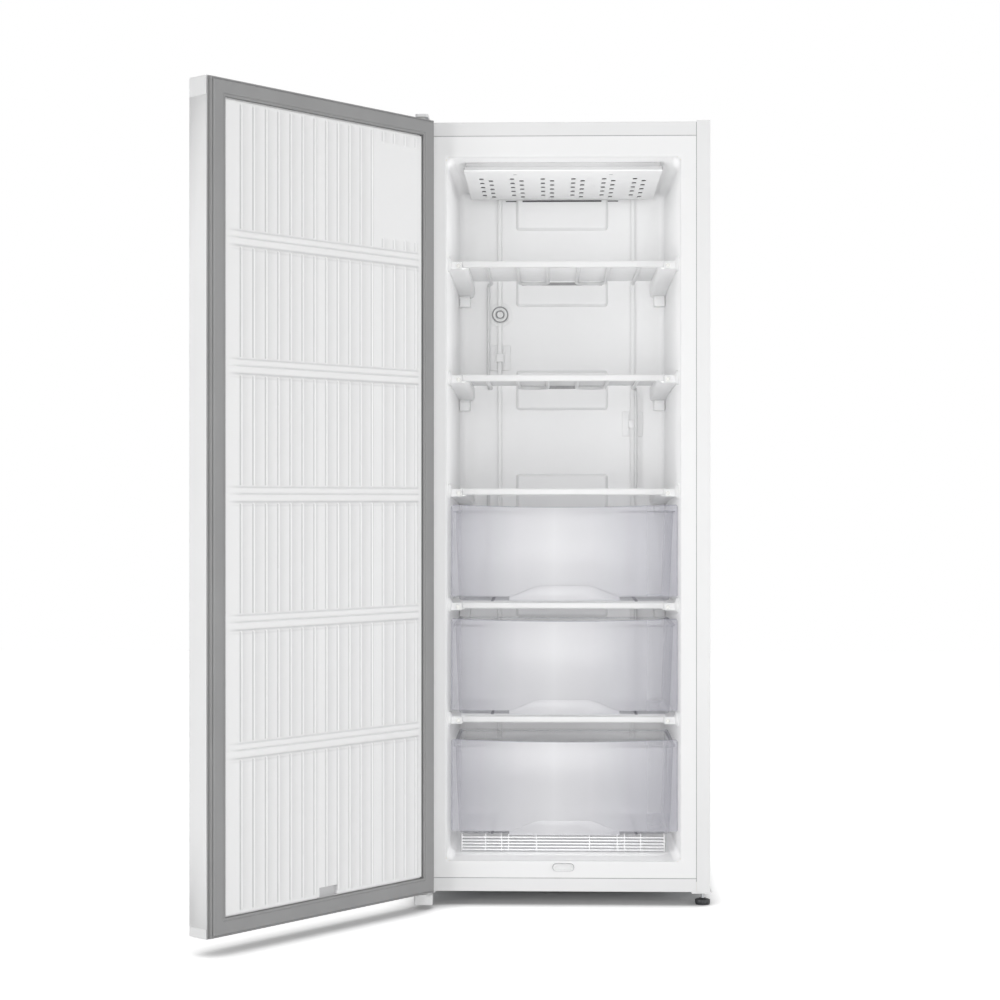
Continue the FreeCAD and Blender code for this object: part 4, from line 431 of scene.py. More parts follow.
def clear_styrene():
    """Clear drawer plastic: nearly colourless face on, smoky lilac looked along, with a milky share."""
    n = Nodes("clear drawer plastic")
    along = n.node("ShaderNodeLayerWeight")
    along.inputs["Blend"].default_value = 0.32
    window = n.node("ShaderNodeBsdfTransparent")
    edge_on = [(0.0, (0.997, 0.996, 0.999)), (0.45, (0.985, 0.984, 0.99)), (1.0, (0.62, 0.62, 0.66))]
    n.link(n.ramp(along.outputs["Facing"], edge_on), window.inputs["Color"])
    flow = n.noise(5.0, 3.0, 0.5, (1.0, 1.0, 0.3))
    tone = n.ramp(flow, [(0.3, (0.87, 0.87, 0.91)), (0.7, (0.90, 0.90, 0.93))])
    body = n.shader(tone, n.spread(flow, 0.12, 0.2), n.bump(n.noise(40.0), 0.0002), IOR=1.45)
    return n.done(n.mixed(n.spread(along.outputs["Fresnel"], 0.0, 0.42), window, body))


def front_styrene_with_highlight():
    """Drawer front: milky and light in the middle, clearer and darker towards its sides, by the distance
    from its middle: a painted highlight across the middle and painted shade at the sides.
    """
    n = Nodes("drawer front with painted highlight")
    across = n.node("ShaderNodeSeparateXYZ")
    n.link(n.place, across.inputs["Vector"])
    offset = n.node("ShaderNodeMath", operation="SUBTRACT")
    offset.inputs[1].default_value = 0.172
    n.link(across.outputs["X"], offset.inputs[0])
    away = n.node("ShaderNodeMath", operation="ABSOLUTE")
    n.link(offset.outputs[0], away.inputs[0])
    share = n.node("ShaderNodeMapRange")
    share.inputs["From Max"].default_value = 0.2545
    n.link(away.outputs[0], share.inputs["Value"])
    reach = share.outputs["Result"]
    flow = n.noise(5.0, 3.0, 0.5, (1.0, 1.0, 0.3))
    # painted highlight: the tone is lightest in the middle and darker towards the sides
    tone = n.ramp(reach, [(0.0, (0.83, 0.83, 0.85)), (0.3, (0.80, 0.80, 0.825)),
                          (0.6, (0.80, 0.80, 0.835)), (1.0, (0.76, 0.76, 0.81))])
    window = n.node("ShaderNodeBsdfTransparent")
    # painted shade: the see-through colour darkens towards the sides
    see = n.ramp(reach, [(0.0, (0.99, 0.99, 0.998)), (1.0, (0.93, 0.928, 0.95))])
    n.link(see, window.inputs["Color"])
    # painted highlight: the milky share is largest in the middle and falls towards the sides
    milk = n.ramp(reach, [(at, (share, share, share))
                          for at, share in ((0.0, 0.72), (0.3, 0.62), (0.6, 0.34), (1.0, 0.22))])
    body = n.shader(tone, n.spread(flow, 0.12, 0.2), n.bump(n.noise(40.0), 0.0002), IOR=1.45)
    return n.done(n.mixed(milk, window, body))


def gasket_rubber():
    """Soft grey seal: magnet strip showing through as slow waves, fine matt grain."""
    n = Nodes("grey seal")
    wave = n.noise(14.0, 2.0, 0.5, (1, 1, 0.4))
    tone = n.ramp(wave, [(0.3, (0.300, 0.300, 0.302)), (0.7, (0.325, 0.325, 0.327))])
    relief = n.bump(n.noise(1500.0, 2.0), 0.00005, under=n.bump(wave, 0.0005))
    return n.done(n.shader(tone, n.spread(n.noise(90.0), 0.45, 0.6), relief, Sheen_Weight=0.15))


def liner_with_fold_shade():
    """Liner plastic with painted shade: its tone darkens in the folds beside ribs and beads, by the mesh's
    fold value.
    """
    n = Nodes("ribbed liner with painted fold shade")
    fold_shade_value = n.node("ShaderNodeAttribute", attribute_name="fold")
    cloud = n.noise(3.0, 3.0)
    tone = n.ramp(cloud, [(0.3, (0.955, 0.956, 0.958)), (0.7, (0.97, 0.971, 0.973))])
    # painted shade: the tone is multiplied towards grey where the fold value is high
    deep = n.node("ShaderNodeMix", data_type="RGBA", blend_type="MULTIPLY")
    n.link(n.spread(fold_shade_value.outputs["Fac"], 0.0, 1.0), deep.inputs[0])
    n.link(tone, deep.inputs[6])
    deep.inputs[7].default_value = (0.66, 0.66, 0.665, 1)
    relief = n.bump(n.noise(160.0), 0.00012)
    return n.done(n.shader(deep.outputs[2], n.spread(n.noise(27.0, 4.0), 0.34, 0.46), relief))


def foamed():
    """Rigid yellow foam: closed cells of differing size."""
    n = Nodes("rigid foam")
    cell = n.cells(900.0)
    tone = n.ramp(cell["Distance"], [(0.0, (0.62, 0.55, 0.36)), (0.6, (0.80, 0.74, 0.55))])
    return n.done(n.shader(tone, n.spread(n.noise(50.0), 0.8, 0.95), n.bump(cell["Distance"], 0.0004)))


WHITE = (0.84, 0.841, 0.843)
finishes = {
    "white_steel": coated("white painted steel", WHITE, (0.28, 0.36), 380.0, 0.00007),
    "galvanised_steel": spangled_zinc(),
    "zinc_steel": metal("bright zinc", (0.55, 0.56, 0.57), (0.76, 0.77, 0.78), 90.0),
    "black_steel": compressor_black(),
    "foam": foamed(),
    "white_liner": coated("thermoformed liner", (0.905, 0.906, 0.908), (0.34, 0.46), 160.0, 0.00012,
                          3.0, 0.008),
    "white_plastic": coated("moulded white plastic", (0.868, 0.870, 0.872), (0.3, 0.42), 900.0, 0.00003,
                            20.0),
    "clear_plastic": clear_styrene(),
    "coated_wire": coated("white dipped wire", (0.72, 0.722, 0.726), (0.25, 0.4), 600.0, 0.00012,
                          60.0, 0.02),
    "copper": metal("drawn copper", (0.42, 0.20, 0.11), (0.78, 0.46, 0.31), 70.0, (1, 1, 1), (0.25, 0.5),
                    0.00006),
    "grey_gasket": gasket_rubber(),
    "black_rubber": coated("black rubber", (0.022, 0.022, 0.024), (0.6, 0.8), 1200.0, 0.0001, 80.0, 0.15),
    "dark_plastic": coated("dark moulded plastic", (0.035, 0.036, 0.040), (0.4, 0.55), 1100.0, 0.00008,
                           50.0, 0.1),
    "bearing_plastic": coated("bearing plastic", (0.62, 0.62, 0.60), (0.35, 0.5), 800.0, 0.00004,
                              40.0, 0.04),
}
# painted light: a lighter copy of the cabinet's white paint, so that the door's skin reads brighter
door_paint_lit_brighter = coated("white door paint lit brighter", (0.925, 0.926, 0.928), (0.28, 0.36), 380.0, 0.00007)
# painted shade: dark grey for outlines along the clear drawer fronts' edges
edge_outline_shade = coated("cut edge outline shade", (0.25, 0.25, 0.29), (0.3, 0.45), 700.0, 0.0001, 50.0, 0.1)
# painted shade: a darker copy of the white plastic for the ceiling cover's lips
lip_painted_darker = coated("cover lip painted darker", (0.66, 0.66, 0.665), (0.35, 0.45), 600.0, 0.0001, 20.0, 0.02)
# painted shade: grey for the gap above the ceiling cover
pale_gap_shade = coated("pale ceiling gap shade", (0.50, 0.50, 0.505), (0.5, 0.6), 600.0, 0.0001, 20.0, 0.03)
# painted shade: grey for strips and rings set into gaps and round the drain tab, where there is only shade
grey_gap_shade = coated("grey gap shade", (0.33, 0.33, 0.335), (0.6, 0.75), 700.0, 0.0001, 50.0, 0.1)
# painted shade: near-black for the crack under the ceiling cover
shade_strip = coated("dark gap shade", (0.10, 0.10, 0.105), (0.7, 0.85), 700.0, 0.0001, 50.0, 0.1)

for part in frame["record"]["subparts"]:
    for place in nodes[part["node"]].material_slots:
        place.material = finishes[part["material_slot"]]

near_mouth = []  # pieces that the cards in the mouth would bleach or darken
# drawer fronts with a painted highlight across their middle
front_painted_highlight = front_styrene_with_highlight()


# ------------------------------------------------------------------ inner liner
def inner_liner():
    """The liner as one folded shell: an L-shaped side outline between two drafted walls, then rounded."""
    side = np.array([
        [0, MOUTH_LOW], [STEP_FRONT, MOUTH_LOW + 2.2], [STEP_FRONT, STEP_TOP],
        [LINER_DEPTH, STEP_TOP], [LINER_DEPTH, MOUTH_HIGH - 3.0], [0, MOUTH_HIGH],
    ])
    half = MOUTH - 6.0 * side[:, 0] / LINER_DEPTH
    left = np.stack([-half, side[:, 0], side[:, 1]], -1)
    right = left * [-1, 1, 1]
    low, high = BODY_LOW + 27.8, 1602.5 - 28.3
    rim = np.array([[-271.8, 0, low], [271.8, 0, low], [271.8, 0, high], [-271.8, 0, high]])
    form = Form()
    n = np.arange(6)
    walls = np.stack([n[:-1], n[:-1] + 6, n[1:] + 6, n[1:]], -1)
    flange = np.array([[0, 6, 13, 12], [6, 11, 14, 13], [11, 5, 15, 14], [5, 0, 12, 15]])
    form.add(np.concatenate([left, right, rim]), n[None], n[None] + 6, walls, flange)
    shell = piece("liner_shell", form, "white_liner", ["inner_liner"])
    mesh = shell.data
    tie = mesh.attributes.new("bevel_weight_edge", "FLOAT", "EDGE")
    ends = np.zeros(len(mesh.edges) * 2, int)
    mesh.edges.foreach_get("vertices", ends)
    co = np.zeros(len(mesh.vertices) * 3)
    mesh.vertices.foreach_get("co", co)
    co = co.reshape(-1, 3)[ends.reshape(-1, 2)]
    middle_x, flange_y, _ = placed([0, 0, 0])
    at_flange = np.abs(co[..., 1] - flange_y) < 1e-5
    inside = np.abs(co[..., 0] - middle_x) < 0.25
    mouth_edge = at_flange.all(1) & inside.all(1)
    rim_edge = at_flange.all(1) & ~inside.all(1)
    _, nose_y, nose_z = placed([0, STEP_FRONT, STEP_TOP])
    nose = (np.abs(co[..., 1] - nose_y) < 1e-5) & (np.abs(co[..., 2] - nose_z) < 1e-5)
    weight = np.where(mouth_edge | nose.all(1), 0.3, np.where(rim_edge, 0.0, 1.0))
    tie.data.foreach_set("value", weight)
    soft = shell.modifiers.new("moulded corners", "BEVEL")
    soft.width = 0.014
    soft.segments = 6
    soft.limit_method = "WEIGHT"


def wall_fields():
    """Raised fields of the back wall: flat pads with soft sloping rims, pressed forward by 8 mm."""
    form = Form()
    spans = [(top - 50.0, top + 31.0) for top in SHELF_TOPS] + [(1448.0, 1526.0)]
    for low, high in spans:
        outline = rounded(-105.0, 105.0, low - 5, high + 5, 9.0)
        shrunk(form, outline, [0, 0.6, 2.6, 5.0, 6.0, 7.5], [485.6, 484.4, 481.5, 478.2, 477.3, 477.0], "Y")
    piece("back_wall_fields", form, "white_liner", smooth=50)


def wall_gap_shade_strips():
    """Painted shade: grey and dark strips where each shelf's rear edge and the ceiling cover meet the
    raised fields, put where those gaps lie in shade.
    """
    form = Form()
    for top in SHELF_TOPS:
        slab(form, rounded(-92, 92, top - 6.5, top + 0.5, 2.0), 476.4, 479.0, "Y", 0.4)
    piece("rear_gap_shade_strips", form, "black_rubber", finish=grey_gap_shade, smooth=40)
    # painted shade: a dark strip in the crack under the ceiling cover
    ceiling_gap_shade_form = Form()
    slab(ceiling_gap_shade_form, rounded(-90, 90, 1508.0, 1511.5, 1.5), 476.0, 479.0, "Y", 0.4)
    for side in (-1, 1):
        slab(ceiling_gap_shade_form, on_side(side, 90.0, 128.0, 1509.5, 1511.5, 0.8), 483.6, 485.0, "Y", 0.3)
    piece("ceiling_gap_shade_strip", ceiling_gap_shade_form, "black_rubber", finish=shade_strip, smooth=40)


# ------------------------------------------------------------------ refrigerated shelves
def shelf_tube_line(level):
    """To and fro: the tube starts at the back left, and each front-to-back run ends in a half circle."""
    xs = (np.arange(6) - 2.5) * RUN_PITCH
    front, back = 59.0, 442.0
    corners = [[xs[0], back, level]]
    for run, x in enumerate(xs):
        y = front if run % 2 == 0 else back
        corners.append([x, y, level])
        if run < 5:
            corners.append([xs[run + 1], y, level])
    return line_with_bends(corners, RUN_PITCH / 2 - 0.05, 10)


def shelves():
    """Five wire-and-tube shelves: the bent tube below, 34 cross wires above it."""
    for number, top in enumerate(SHELF_TOPS, 1):
        form = Form()
        pipe(form, shelf_tube_line(top - TUBE_DROP), 4.0, 14)
        y = np.linspace(64.0, 424.0, 34)
        z = np.full_like(y, top - 1.2)
        left = np.stack([np.full_like(y, -212.0), y, z], -1)
        wires(form, left, left * [-1, 1, 1], 1.2, 6)
        name = "evaporator_shelf_%d" % number
        piece("shelf_grid_%d" % number, form, "coated_wire", [name])


def shelf_bars():
    """Rolled front bar of each shelf: a channel outline with a full round upper nose."""
    for number, top in enumerate(SHELF_TOPS, 1):
        form = Form()
        outline = rounded(50.0, 60.0, top - 13.5, top, 3.2)
        slab(form, outline, -SHELF_BAR_HALF, SHELF_BAR_HALF, "X", 1.2)
        bar = piece("shelf_bar_%d" % number, form, "white_plastic", ["shelf_trim_%d" % number], smooth=40)
        near_mouth.append(bar)


def side_supports():
    """Moulded side ledges: a section that deepens to the back along a soft curve, with a block below."""
    form = Form()
    share = np.linspace(0, 1, 17)
    y = 66.6 + share * (BACK_WALL - 66.6)
    for top in SHELF_TOPS:
        high = top - 2.8
        depth = 13.0 + 19.0 * share ** 1.5
        wall = MOUTH - 6.0 * (y - 5.0) / 480.0 - 0.4
        free = np.full_like(y, 199.4)
        low, flat = high - depth, np.full_like(y, high)
        x = np.stack([wall, wall, free + 9.0, free + 3.5, free + 0.8, free, free, free + 1.2], -1)
        z = np.stack([flat, low, low, low + 1.5, low + 5.0, low + 9.0, flat - 1.2, flat], -1)
        points = np.stack([x, np.repeat(y[:, None], 8, 1), z], -1)
        rings(form, points)
        rings(form, points * [-1, 1, 1])
        socket = high - 32.0
        for side in (-1, 1):
            inner, outer = sorted((side * 208.2, side * 233.0))
            slab(form, rounded(inner, outer, 452.8, BACK_WALL, 3.0), socket - 22.0, socket + 2.0, "Z", 1.2)
            collar = rounded(inner - 1.2, outer, 451.6, BACK_WALL, 3.5)
            slab(form, collar, socket - 3.5, socket - 0.5, "Z", 1.0)
    piece("side_ledges", form, "white_plastic", ["shelf_side_supports"], smooth=45)


def end_clips():
    """End clips: a domed pad on the wall, and an arm whose round socket holds a ribbed plug."""
    form = Form()
    for top in SHELF_TOPS:
        for side in (-1, 1):
            a = np.linspace(0, math.pi / 2, 7)
            outline = circle(0, 0, 1.0, 28)
            flat = outline[None] * np.stack([11.0 * np.cos(a), 16.0 * np.cos(a)], -1)[:, None, :]
            flat = flat + [55.0, top - 6.0]
            out = side * (238.2 - 9.0 * np.sin(a))
            stacked(form, flat, out, "X")
            slab(form, on_side(side, 208.4, 237.0, top - 17.0, top - 1.0, 4.0), 50.2, 61.0, "Y", 1.4)
            centre = [side * 216.5, 0, top - 9.5]
            turned(form, centre, "Y", [6.8, 6.8, 6.4, 5.4, 5.2, 4.8, 4.6],
                   [50.4, 49.4, 48.9, 48.9, 49.4, 50.4, 50.6], 24)
    near_mouth.append(piece("bar_end_clips", form, "white_plastic", ["shelf_end_clips"], smooth=45))
    plug = Form()
    for top in SHELF_TOPS:
        for side in (-1, 1):
            centre = [side * 216.5, 0, top - 9.5]
            turned(plug, centre, "Y", [4.3, 4.3, 3.7, 1.2], [50.4, 49.9, 49.6, 49.8], 20)
    piece("clip_plugs", plug, "bearing_plastic", smooth=45)


def upright_links():
    """Tubes that carry the coolant from shelf to shelf, left and right by turns."""
    form = Form()
    for n in range(4):
        side = 1 if (5 - n) % 2 else -1
        low, high = SHELF_TOPS[4 - n] - TUBE_DROP, SHELF_TOPS[3 - n] - TUBE_DROP
        start, link = side * 160.0, side * 167.0
        route = [[start, 442.3, low], [link, 466.0, low], [link, 466.0, high], [start, 442.3, high]]
        pipe(form, line_with_bends(route, 9.0), 4.0, 14)
    piece("coolant_links", form, "coated_wire", ["evaporator_links"])


# ------------------------------------------------------------------ back wall fittings
def rear_posts():
    """Posts with a raised lip at both sides of a shallow channel, drawn upwards."""
    form = Form()
    across = np.array([-5.5, -5.5, -5.0, -4.0, -3.5, -3.0])
    depth = np.array([BACK_WALL, 479.4, 478.8, 478.8, 479.4, 481.2])
    section = np.stack([np.concatenate([across, -across[::-1]]), np.concatenate([depth, depth[::-1]])], -1)
    for x in POSTS:
        stacked(form, [section + [x, 0.0]] * 2, [STEP_TOP + 0.4, 1527.6], "Z")
    piece("rear_posts_channel", form, "white_plastic", ["rear_posts"])


def post_clips():
    """Square wall clips: a thin plate with a bridge over the post and two snap ribs."""
    form = Form()
    for x, z in zip(POSTS, (1153.5, 1003.0)):
        for side in (-1, 1):
            inner, outer = sorted((x + side * 5.9, x + side * 23.4))
            slab(form, rounded(inner, outer, z - 28.4, z + 28.4, 2.5), 481.7, BACK_WALL, "Y", 0.8)
            rib_in, rib_out = sorted((x + side * 9.5, x + side * 12.0))
            slab(form, rounded(rib_in, rib_out, z - 22.0, z + 22.0, 1.0), 480.6, 482.4, "Y", 0.5)
        slab(form, rounded(x - 8.8, x + 8.8, z - 9.0, z + 9.0, 2.0), 476.9, 478.3, "Y", 0.5)
        for side in (-1, 1):
            inner, outer = sorted((x + side * 5.9, x + side * 8.8))
            slab(form, rounded(inner, outer, z - 9.0, z + 9.0, 0.8), 477.4, 484.0, "Y", 0.4)
    piece("post_wall_clips", form, "white_plastic", ["post_clips"])


def tube_grommet():
    """Cable-gland-like cover in two halves: a flat plate, a raised ring and an inner collar."""
    form = Form()
    centre = np.array([POSTS[0], 1252.0])
    a = np.linspace(math.radians(13), math.radians(167), 30)
    for turn in (-1, 1):
        for inner, outer, front, back in ((18.6, 28.0, 482.0, BACK_WALL), (11.0, 15.8, 478.9, 484.0),
                                          (3.0, 7.0, 478.9, 484.0)):
            arc = a - math.pi / 2 if turn > 0 else a + math.pi / 2
            loop_r = np.concatenate([np.full(30, outer), np.full(30, inner)])
            loop_a = np.concatenate([arc, arc[::-1]])
            x = np.maximum(loop_r * np.cos(loop_a) * turn, 1.0) * turn
            flat = np.stack([x, loop_r * np.sin(loop_a)], -1) + centre
            slab(form, flat, front, back, "Y", 0.5)
    piece("tube_grommet_rings", form, "white_plastic", ["tube_grommet"])
    # painted shade: grey rings in the gaps between the cover's rings
    gap = Form()
    for inner, outer in ((15.9, 18.5), (7.1, 9.6)):
        turned(gap, [centre[0], 0, centre[1]], "Y", [outer, outer, inner, inner],
               [484.4, 478.4, 478.4, 484.4], 48, wrap=True)
    piece("tube_grommet_gap_shade", gap, "black_rubber", finish=grey_gap_shade, smooth=40)


# ------------------------------------------------------------------ ceiling
def ceiling_cover():
    """Slotted cover: each slot sits in its own cell, with a ring of faces from its rim to the cell's."""
    form = Form()
    half, front, back, level = 206.0, 60.0, 470.0, 1514.0
    pair_pitch, row_pitch, first_row = 65.4, 58.0, 186.0
    hole = rounded(-4.8, 4.8, -12.5, 12.5, 4.7, 4)
    columns = [(pair - 2.5) * pair_pitch + side * 9.9 for pair in range(6) for side in (-1, 1)]
    cuts = [-half] + [(a + b) / 2 for a, b in zip(columns, columns[1:])] + [half]
    for n, x in enumerate(columns):
        x0, x1 = cuts[n], cuts[n + 1]
        for row in range(5):
            y0 = first_row - row_pitch / 2 + row * row_pitch
            y = first_row + row * row_pitch + (13.0 if n % 2 else -13.0)
            far = hole * 60.0 + [x, y]
            cell = np.stack([np.clip(far[:, 0], x0, x1), np.clip(far[:, 1], y0, y0 + row_pitch)], -1)
            points = on_axis(np.stack([hole + [x, y], cell]), level + np.zeros((2, 1)), "Z")
            form.add(points, grid_faces(2, len(hole), False, True))
        for y0, y1 in ((front, first_row - row_pitch / 2), (first_row + row_pitch * 4.5, back)):
            form.add([[x0, y0, level], [x1, y0, level], [x1, y1, level], [x0, y1, level]], [[0, 1, 2, 3]])
    piece("ceiling_plate", form, "white_plastic", ["ceiling_cover"], smooth=0, wall=1.5)
    lips = Form()
    slab(lips, rounded(front, front + 1.6, level, level + 7.0, 0.6), -half, half, "X", 0.5)
    for side in (-1, 1):
        slab(lips, on_side(side, half - 1.6, half, level, level + 7.0, 0.6), front, back, "Y", 0.5)
        turned(lips, [side * 100.5, 110.0, 0], "Z", [7.0, 6.2, 6.2], [1515.0, 1518.0, 1530.0], 24)
    # painted shade: the rims take the darker lip colour
    near_mouth.append(piece("ceiling_plate_rims", lips, "white_plastic", finish=lip_painted_darker))
    # painted shade: a pale grey strip in the gap above the cover's front edge
    strip = Form()
    slab(strip, rounded(64.5, 67.0, 1517.0, 1530.6, 0.6), -half + 4, half - 4, "X", 0.4)
    piece("ceiling_gap_grey_shade", strip, "white_plastic", finish=pale_gap_shade, smooth=40)
    # painted shade: a near-black finned pad above the cover, so that the slots read dark
    pad = Form()
    slab(pad, rounded(-190.0, 190.0, 150.0, 474.0, 4.0), 1518.0, 1520.0, "Z", 0.5)
    for y in np.linspace(154.0, 470.0, 54):
        slab(pad, rounded(y - 0.5, y + 0.5, 1519.5, 1525.0, 0.3, 1), -188.0, 188.0, "X", 0.2, 1)
    piece("ceiling_slot_shade_fins", pad, "dark_plastic")
    screws = Form()
    for x in (-100.5, 100.5):
        screw_head(screws, [x, 110.0, 1514.0], "Z", -1, 5.0, 2.3)
    piece("cover_screw_heads", screws, "zinc_steel", ["ceiling_cover_screws"])


def screw_head(form, centre, axis, outward, radius, height):
    """Pan screw head: a low dome that rises as a sine and is slightly sunk in its middle."""
    a = np.linspace(0, math.pi / 2, 6)
    radii = np.concatenate([[radius], radius * (0.55 + 0.45 * np.cos(a)), [radius * 0.5]])
    heights = np.concatenate([[0.0], 0.25 * height + 0.75 * height * np.sin(a), [height * 0.72]]) * outward
    turned(form, centre, axis, radii, heights, 24)


# ------------------------------------------------------------------ drawers
def finger_arch(x, half=118.0, slope=74.0):
    """Height of the arch below a drawer's front: two S-curves that fall from the middle to each end."""
    share = np.clip((half - np.abs(x)) / slope, 0, 1)
    return 22.5 * (0.5 - 0.5 * np.cos(math.pi * share)) ** 0.9


def sagged(x, high):
    """The front's upper edge: a parabola that hangs 5 mm below its two ends."""
    return high - 5.0 * (1 - (x / FRONT_HALF) ** 2)


def drawer_front_outline(low):
    """Front outline: top edge sagging by 5 mm, and a flat-topped finger arch between two S-curves."""
    half, high = FRONT_HALF, low + 190.0
    top_x = np.linspace(half - 4, -half + 4, 25)
    top = np.stack([top_x, sagged(top_x, high)], -1)
    x = np.linspace(-118.0, 118.0, 61)
    bottom = np.stack([x, low + finger_arch(x)], -1)
    turn = np.linspace(0, math.pi / 2, 5)
    left_top = np.stack([-half + 4 - 4 * np.sin(turn), high - 4 + 4 * np.cos(turn)], -1)
    left_low = np.stack([-half + 3 - 3 * np.cos(turn), low + 3 - 3 * np.sin(turn)], -1)
    right_low = np.stack([half - 3 + 3 * np.sin(turn), low + 3 - 3 * np.cos(turn)], -1)
    right_top = np.stack([half - 4 + 4 * np.cos(turn), high - 4 + 4 * np.sin(turn)], -1)
    return np.concatenate([top[1:-1], left_top, left_low, bottom, right_low, right_top])


def drawers():
    """Clear drawers: a tub whose rings narrow to its floor, a rolled rim, runners and the arched front."""
    bodies = ("upper_drawer", "middle_drawer", "lower_drawer")
    for number, (support, body) in enumerate(zip(DRAWER_FLOORS, bodies), 1):
        form = Form()
        floor = support + 2.3
        rim = floor + 187.0
        front, back = 46.2, 353.0
        levels = np.array([0.0, 1.2, 4.0, 10.0, 40.0, 90.0, 140.0, 175.0, 185.0])
        share = levels / 187.0
        inset = np.array([6.0, 2.2, 0.5, 0, 0, 0, 0, 0, 0])
        wall = np.stack([
            rounded(-(219 + 7 * s) + i, (219 + 7 * s) - i,
                    front + 24 * (1 - s) + i, back - 8 * (1 - s) - i, 14.0, 6)
            for s, i in zip(share, inset)
        ])
        wall = on_axis(wall, (floor + levels)[:, None], "Z")
        form.add(wall, grid_faces(len(levels), wall.shape[1], False, True), np.arange(wall.shape[1]))
        lip_in = np.array([0.2, 3.2, 3.2, 2.4, 0.6, -3.2, -3.2, -2.4])
        lip_up = np.array([-4.2, -4.2, -1.4, -0.4, 0.0, -0.2, -3.0, -3.2])
        lip = [rounded(-226.4 + i, 226.4 - i, front + 0.6 + i, back - i, 14.0, 6) for i in lip_in]
        stacked(form, lip, rim + lip_up, "Z", wrap=True)
        for x in (-150.0, 150.0):
            slab(form, rounded(x - 3.0, x + 3.0, 77.5, 341.0, 2.8), support + 0.3, floor + 0.8, "Z", 0.6)
        low = support + 12.0
        face, edge_shade_lines = Form(), Form()
        slab(face, drawer_front_outline(low), 43.0, 45.5, "Y", 0.7)
        span = np.linspace(-114.0, 114.0, 41)
        roof = np.stack([span, low + 1.0 + finger_arch(span)], -1)
        shield = np.concatenate([np.stack([span, np.full(41, support + 3.4)], -1), roof[::-1]])
        slab(face, shield, 46.6, 47.8, "Y", 0.2)
        for side in (-1, 1):
            # painted shade: dark strips along the front's side edges and a dark brim along its top, where
            # clear edges look dark
            edge = on_side(side, 232.0, 233.4, low + 2.0, low + 186.0, 0.35, 2)
            slab(edge_shade_lines, edge, 42.6, 43.2, "Y", 0.1, 1)
        brim = np.linspace(-230.0, 230.0, 41)
        pipe(edge_shade_lines, np.stack([brim, np.full(41, 43.1), sagged(brim, low + 189.2)], -1), 0.6, 6)
        bow = np.linspace(-112.0, 112.0, 41)
        bow_level = low + 4.0 + finger_arch(bow, 112.0, 70.0)
        pipe(form, np.stack([bow, np.full(41, 46.9), bow_level], -1), 1.2, 8)
        for part in (form, face, edge_shade_lines):
            for corners in part.corners:
                corners += [DRAWER_SHIFT, 0.0, 0.0]
        near_mouth.append(piece("drawer_tub_%d" % number, form, "clear_plastic", body=body, smooth=40))
        piece("drawer_cut_edges_%d" % number, edge_shade_lines, "clear_plastic", body=body, finish=edge_outline_shade,
              smooth=40)
        near_mouth.append(piece("drawer_front_%d" % number, face, "clear_plastic",
                                ["drawer_%d" % number], body=body, finish=front_painted_highlight, smooth=40))


def wire_stand():
    """Stand below the lowest drawer: bent uprights in pairs, five front rails and three cross wires."""
    form = Form()
    front, back, half = 108.0, 344.0, 212.0
    floor_front, floor_back = (MOUTH_LOW + 3.0 * (y - 5.0) / 480 + 1.8 for y in (front, back))
    cross = STAND_TOP - 1.5
    high = cross - 3.0
    for share in (1.0, 0.767, 0.608, 0.538, 0.262):
        for side in (-1, 1):
            x = side * share * half
            route = [[x, front, floor_front], [x, front, high], [x, back, high]]
            route += [[x, back, floor_back]] if share == 1.0 else []
            pipe(form, line_with_bends(route, 6.0, 5), 1.5, 8)
    rails = np.linspace(floor_front + 3.0, high - 6.0, 5)
    left = np.stack([np.full(5, -half), np.full(5, front - 3.0), rails], -1)
    wires(form, left, left * [-1, 1, 1], 1.5)
    y = np.linspace(138.0, 314.0, 3)
    left = np.stack([np.full(3, -half), y, np.full(3, cross)], -1)
    wires(form, left, left * [-1, 1, 1], 1.5)
    piece("drawer_stand", form, "coated_wire", ["wire_stand"])


def drain_spout():
    """Pull tab like a flat ring with a finger hollow, on an open channel that slides out."""
    form = Form()
    middle = 78.4
    outline = rounded(-21.0, 21.0, middle - 7.25, middle + 7.25, 7.0, 8)
    inset = [0.4, 0.0, 0.0, 0.5, 1.6, 2.6, 3.0, 3.4, 4.2]
    shrunk(form, outline, inset, [0.0, -0.6, -4.0, -4.8, -5.0, -4.6, -3.6, -1.6, -1.0], "Y")
    low, high, wall = 73.9, 82.9, 1.5
    channel = np.array([[-15, high], [-15, low], [15, low], [15, high], [15 - wall, high],
                        [15 - wall, low + wall], [wall - 15, low + wall], [wall - 15, high]])
    stacked(form, [channel, channel], [0.0, 74.0], "Y")
    rim = Form()
    slab(rim, rounded(-22.0, 22.0, middle - 8.2, middle + 8.2, 7.8, 8), -0.6, 0.0, "Y", 0.2)
    piece("drain_pull_shadow_rim", rim, "black_rubber", body="drain", finish=grey_gap_shade, smooth=40)
    piece("drain_pull_tab", form, "white_plastic", ["drain_spout"], body="drain", smooth=40)


# ------------------------------------------------------------------ door
def door_outline(steps=8):
    """Plan outline of the closed door: square at the inner face, 5 mm quarter rounds at the outer one."""
    half, low, radius = 298.0, DOOR_FACE, 5.0
    a = np.linspace(0, math.pi / 2, steps + 1)
    left = np.stack([-(half - radius + radius * np.cos(a)), low + radius - radius * np.sin(a)], -1)
    right = left[::-1] * [-1, 1]
    return np.concatenate([[[half, DOOR_INSIDE], [-half, DOOR_INSIDE]], left, right])


def door_caps():
    """End caps: the door's outline drawn up, with rounded rims and a shallow step against the steel."""
    for name, node, low, high in (("door_cap_top", "door_top_cap", 1564.0, 1600.0),
                                  ("door_cap_bottom", "door_bottom_cap", 33.0, 52.0)):
        form = Form()
        slab(form, door_outline(), low, high, "Z", 2.0, 4)
        piece(name, form, "white_plastic", [node], body="door", smooth=40)


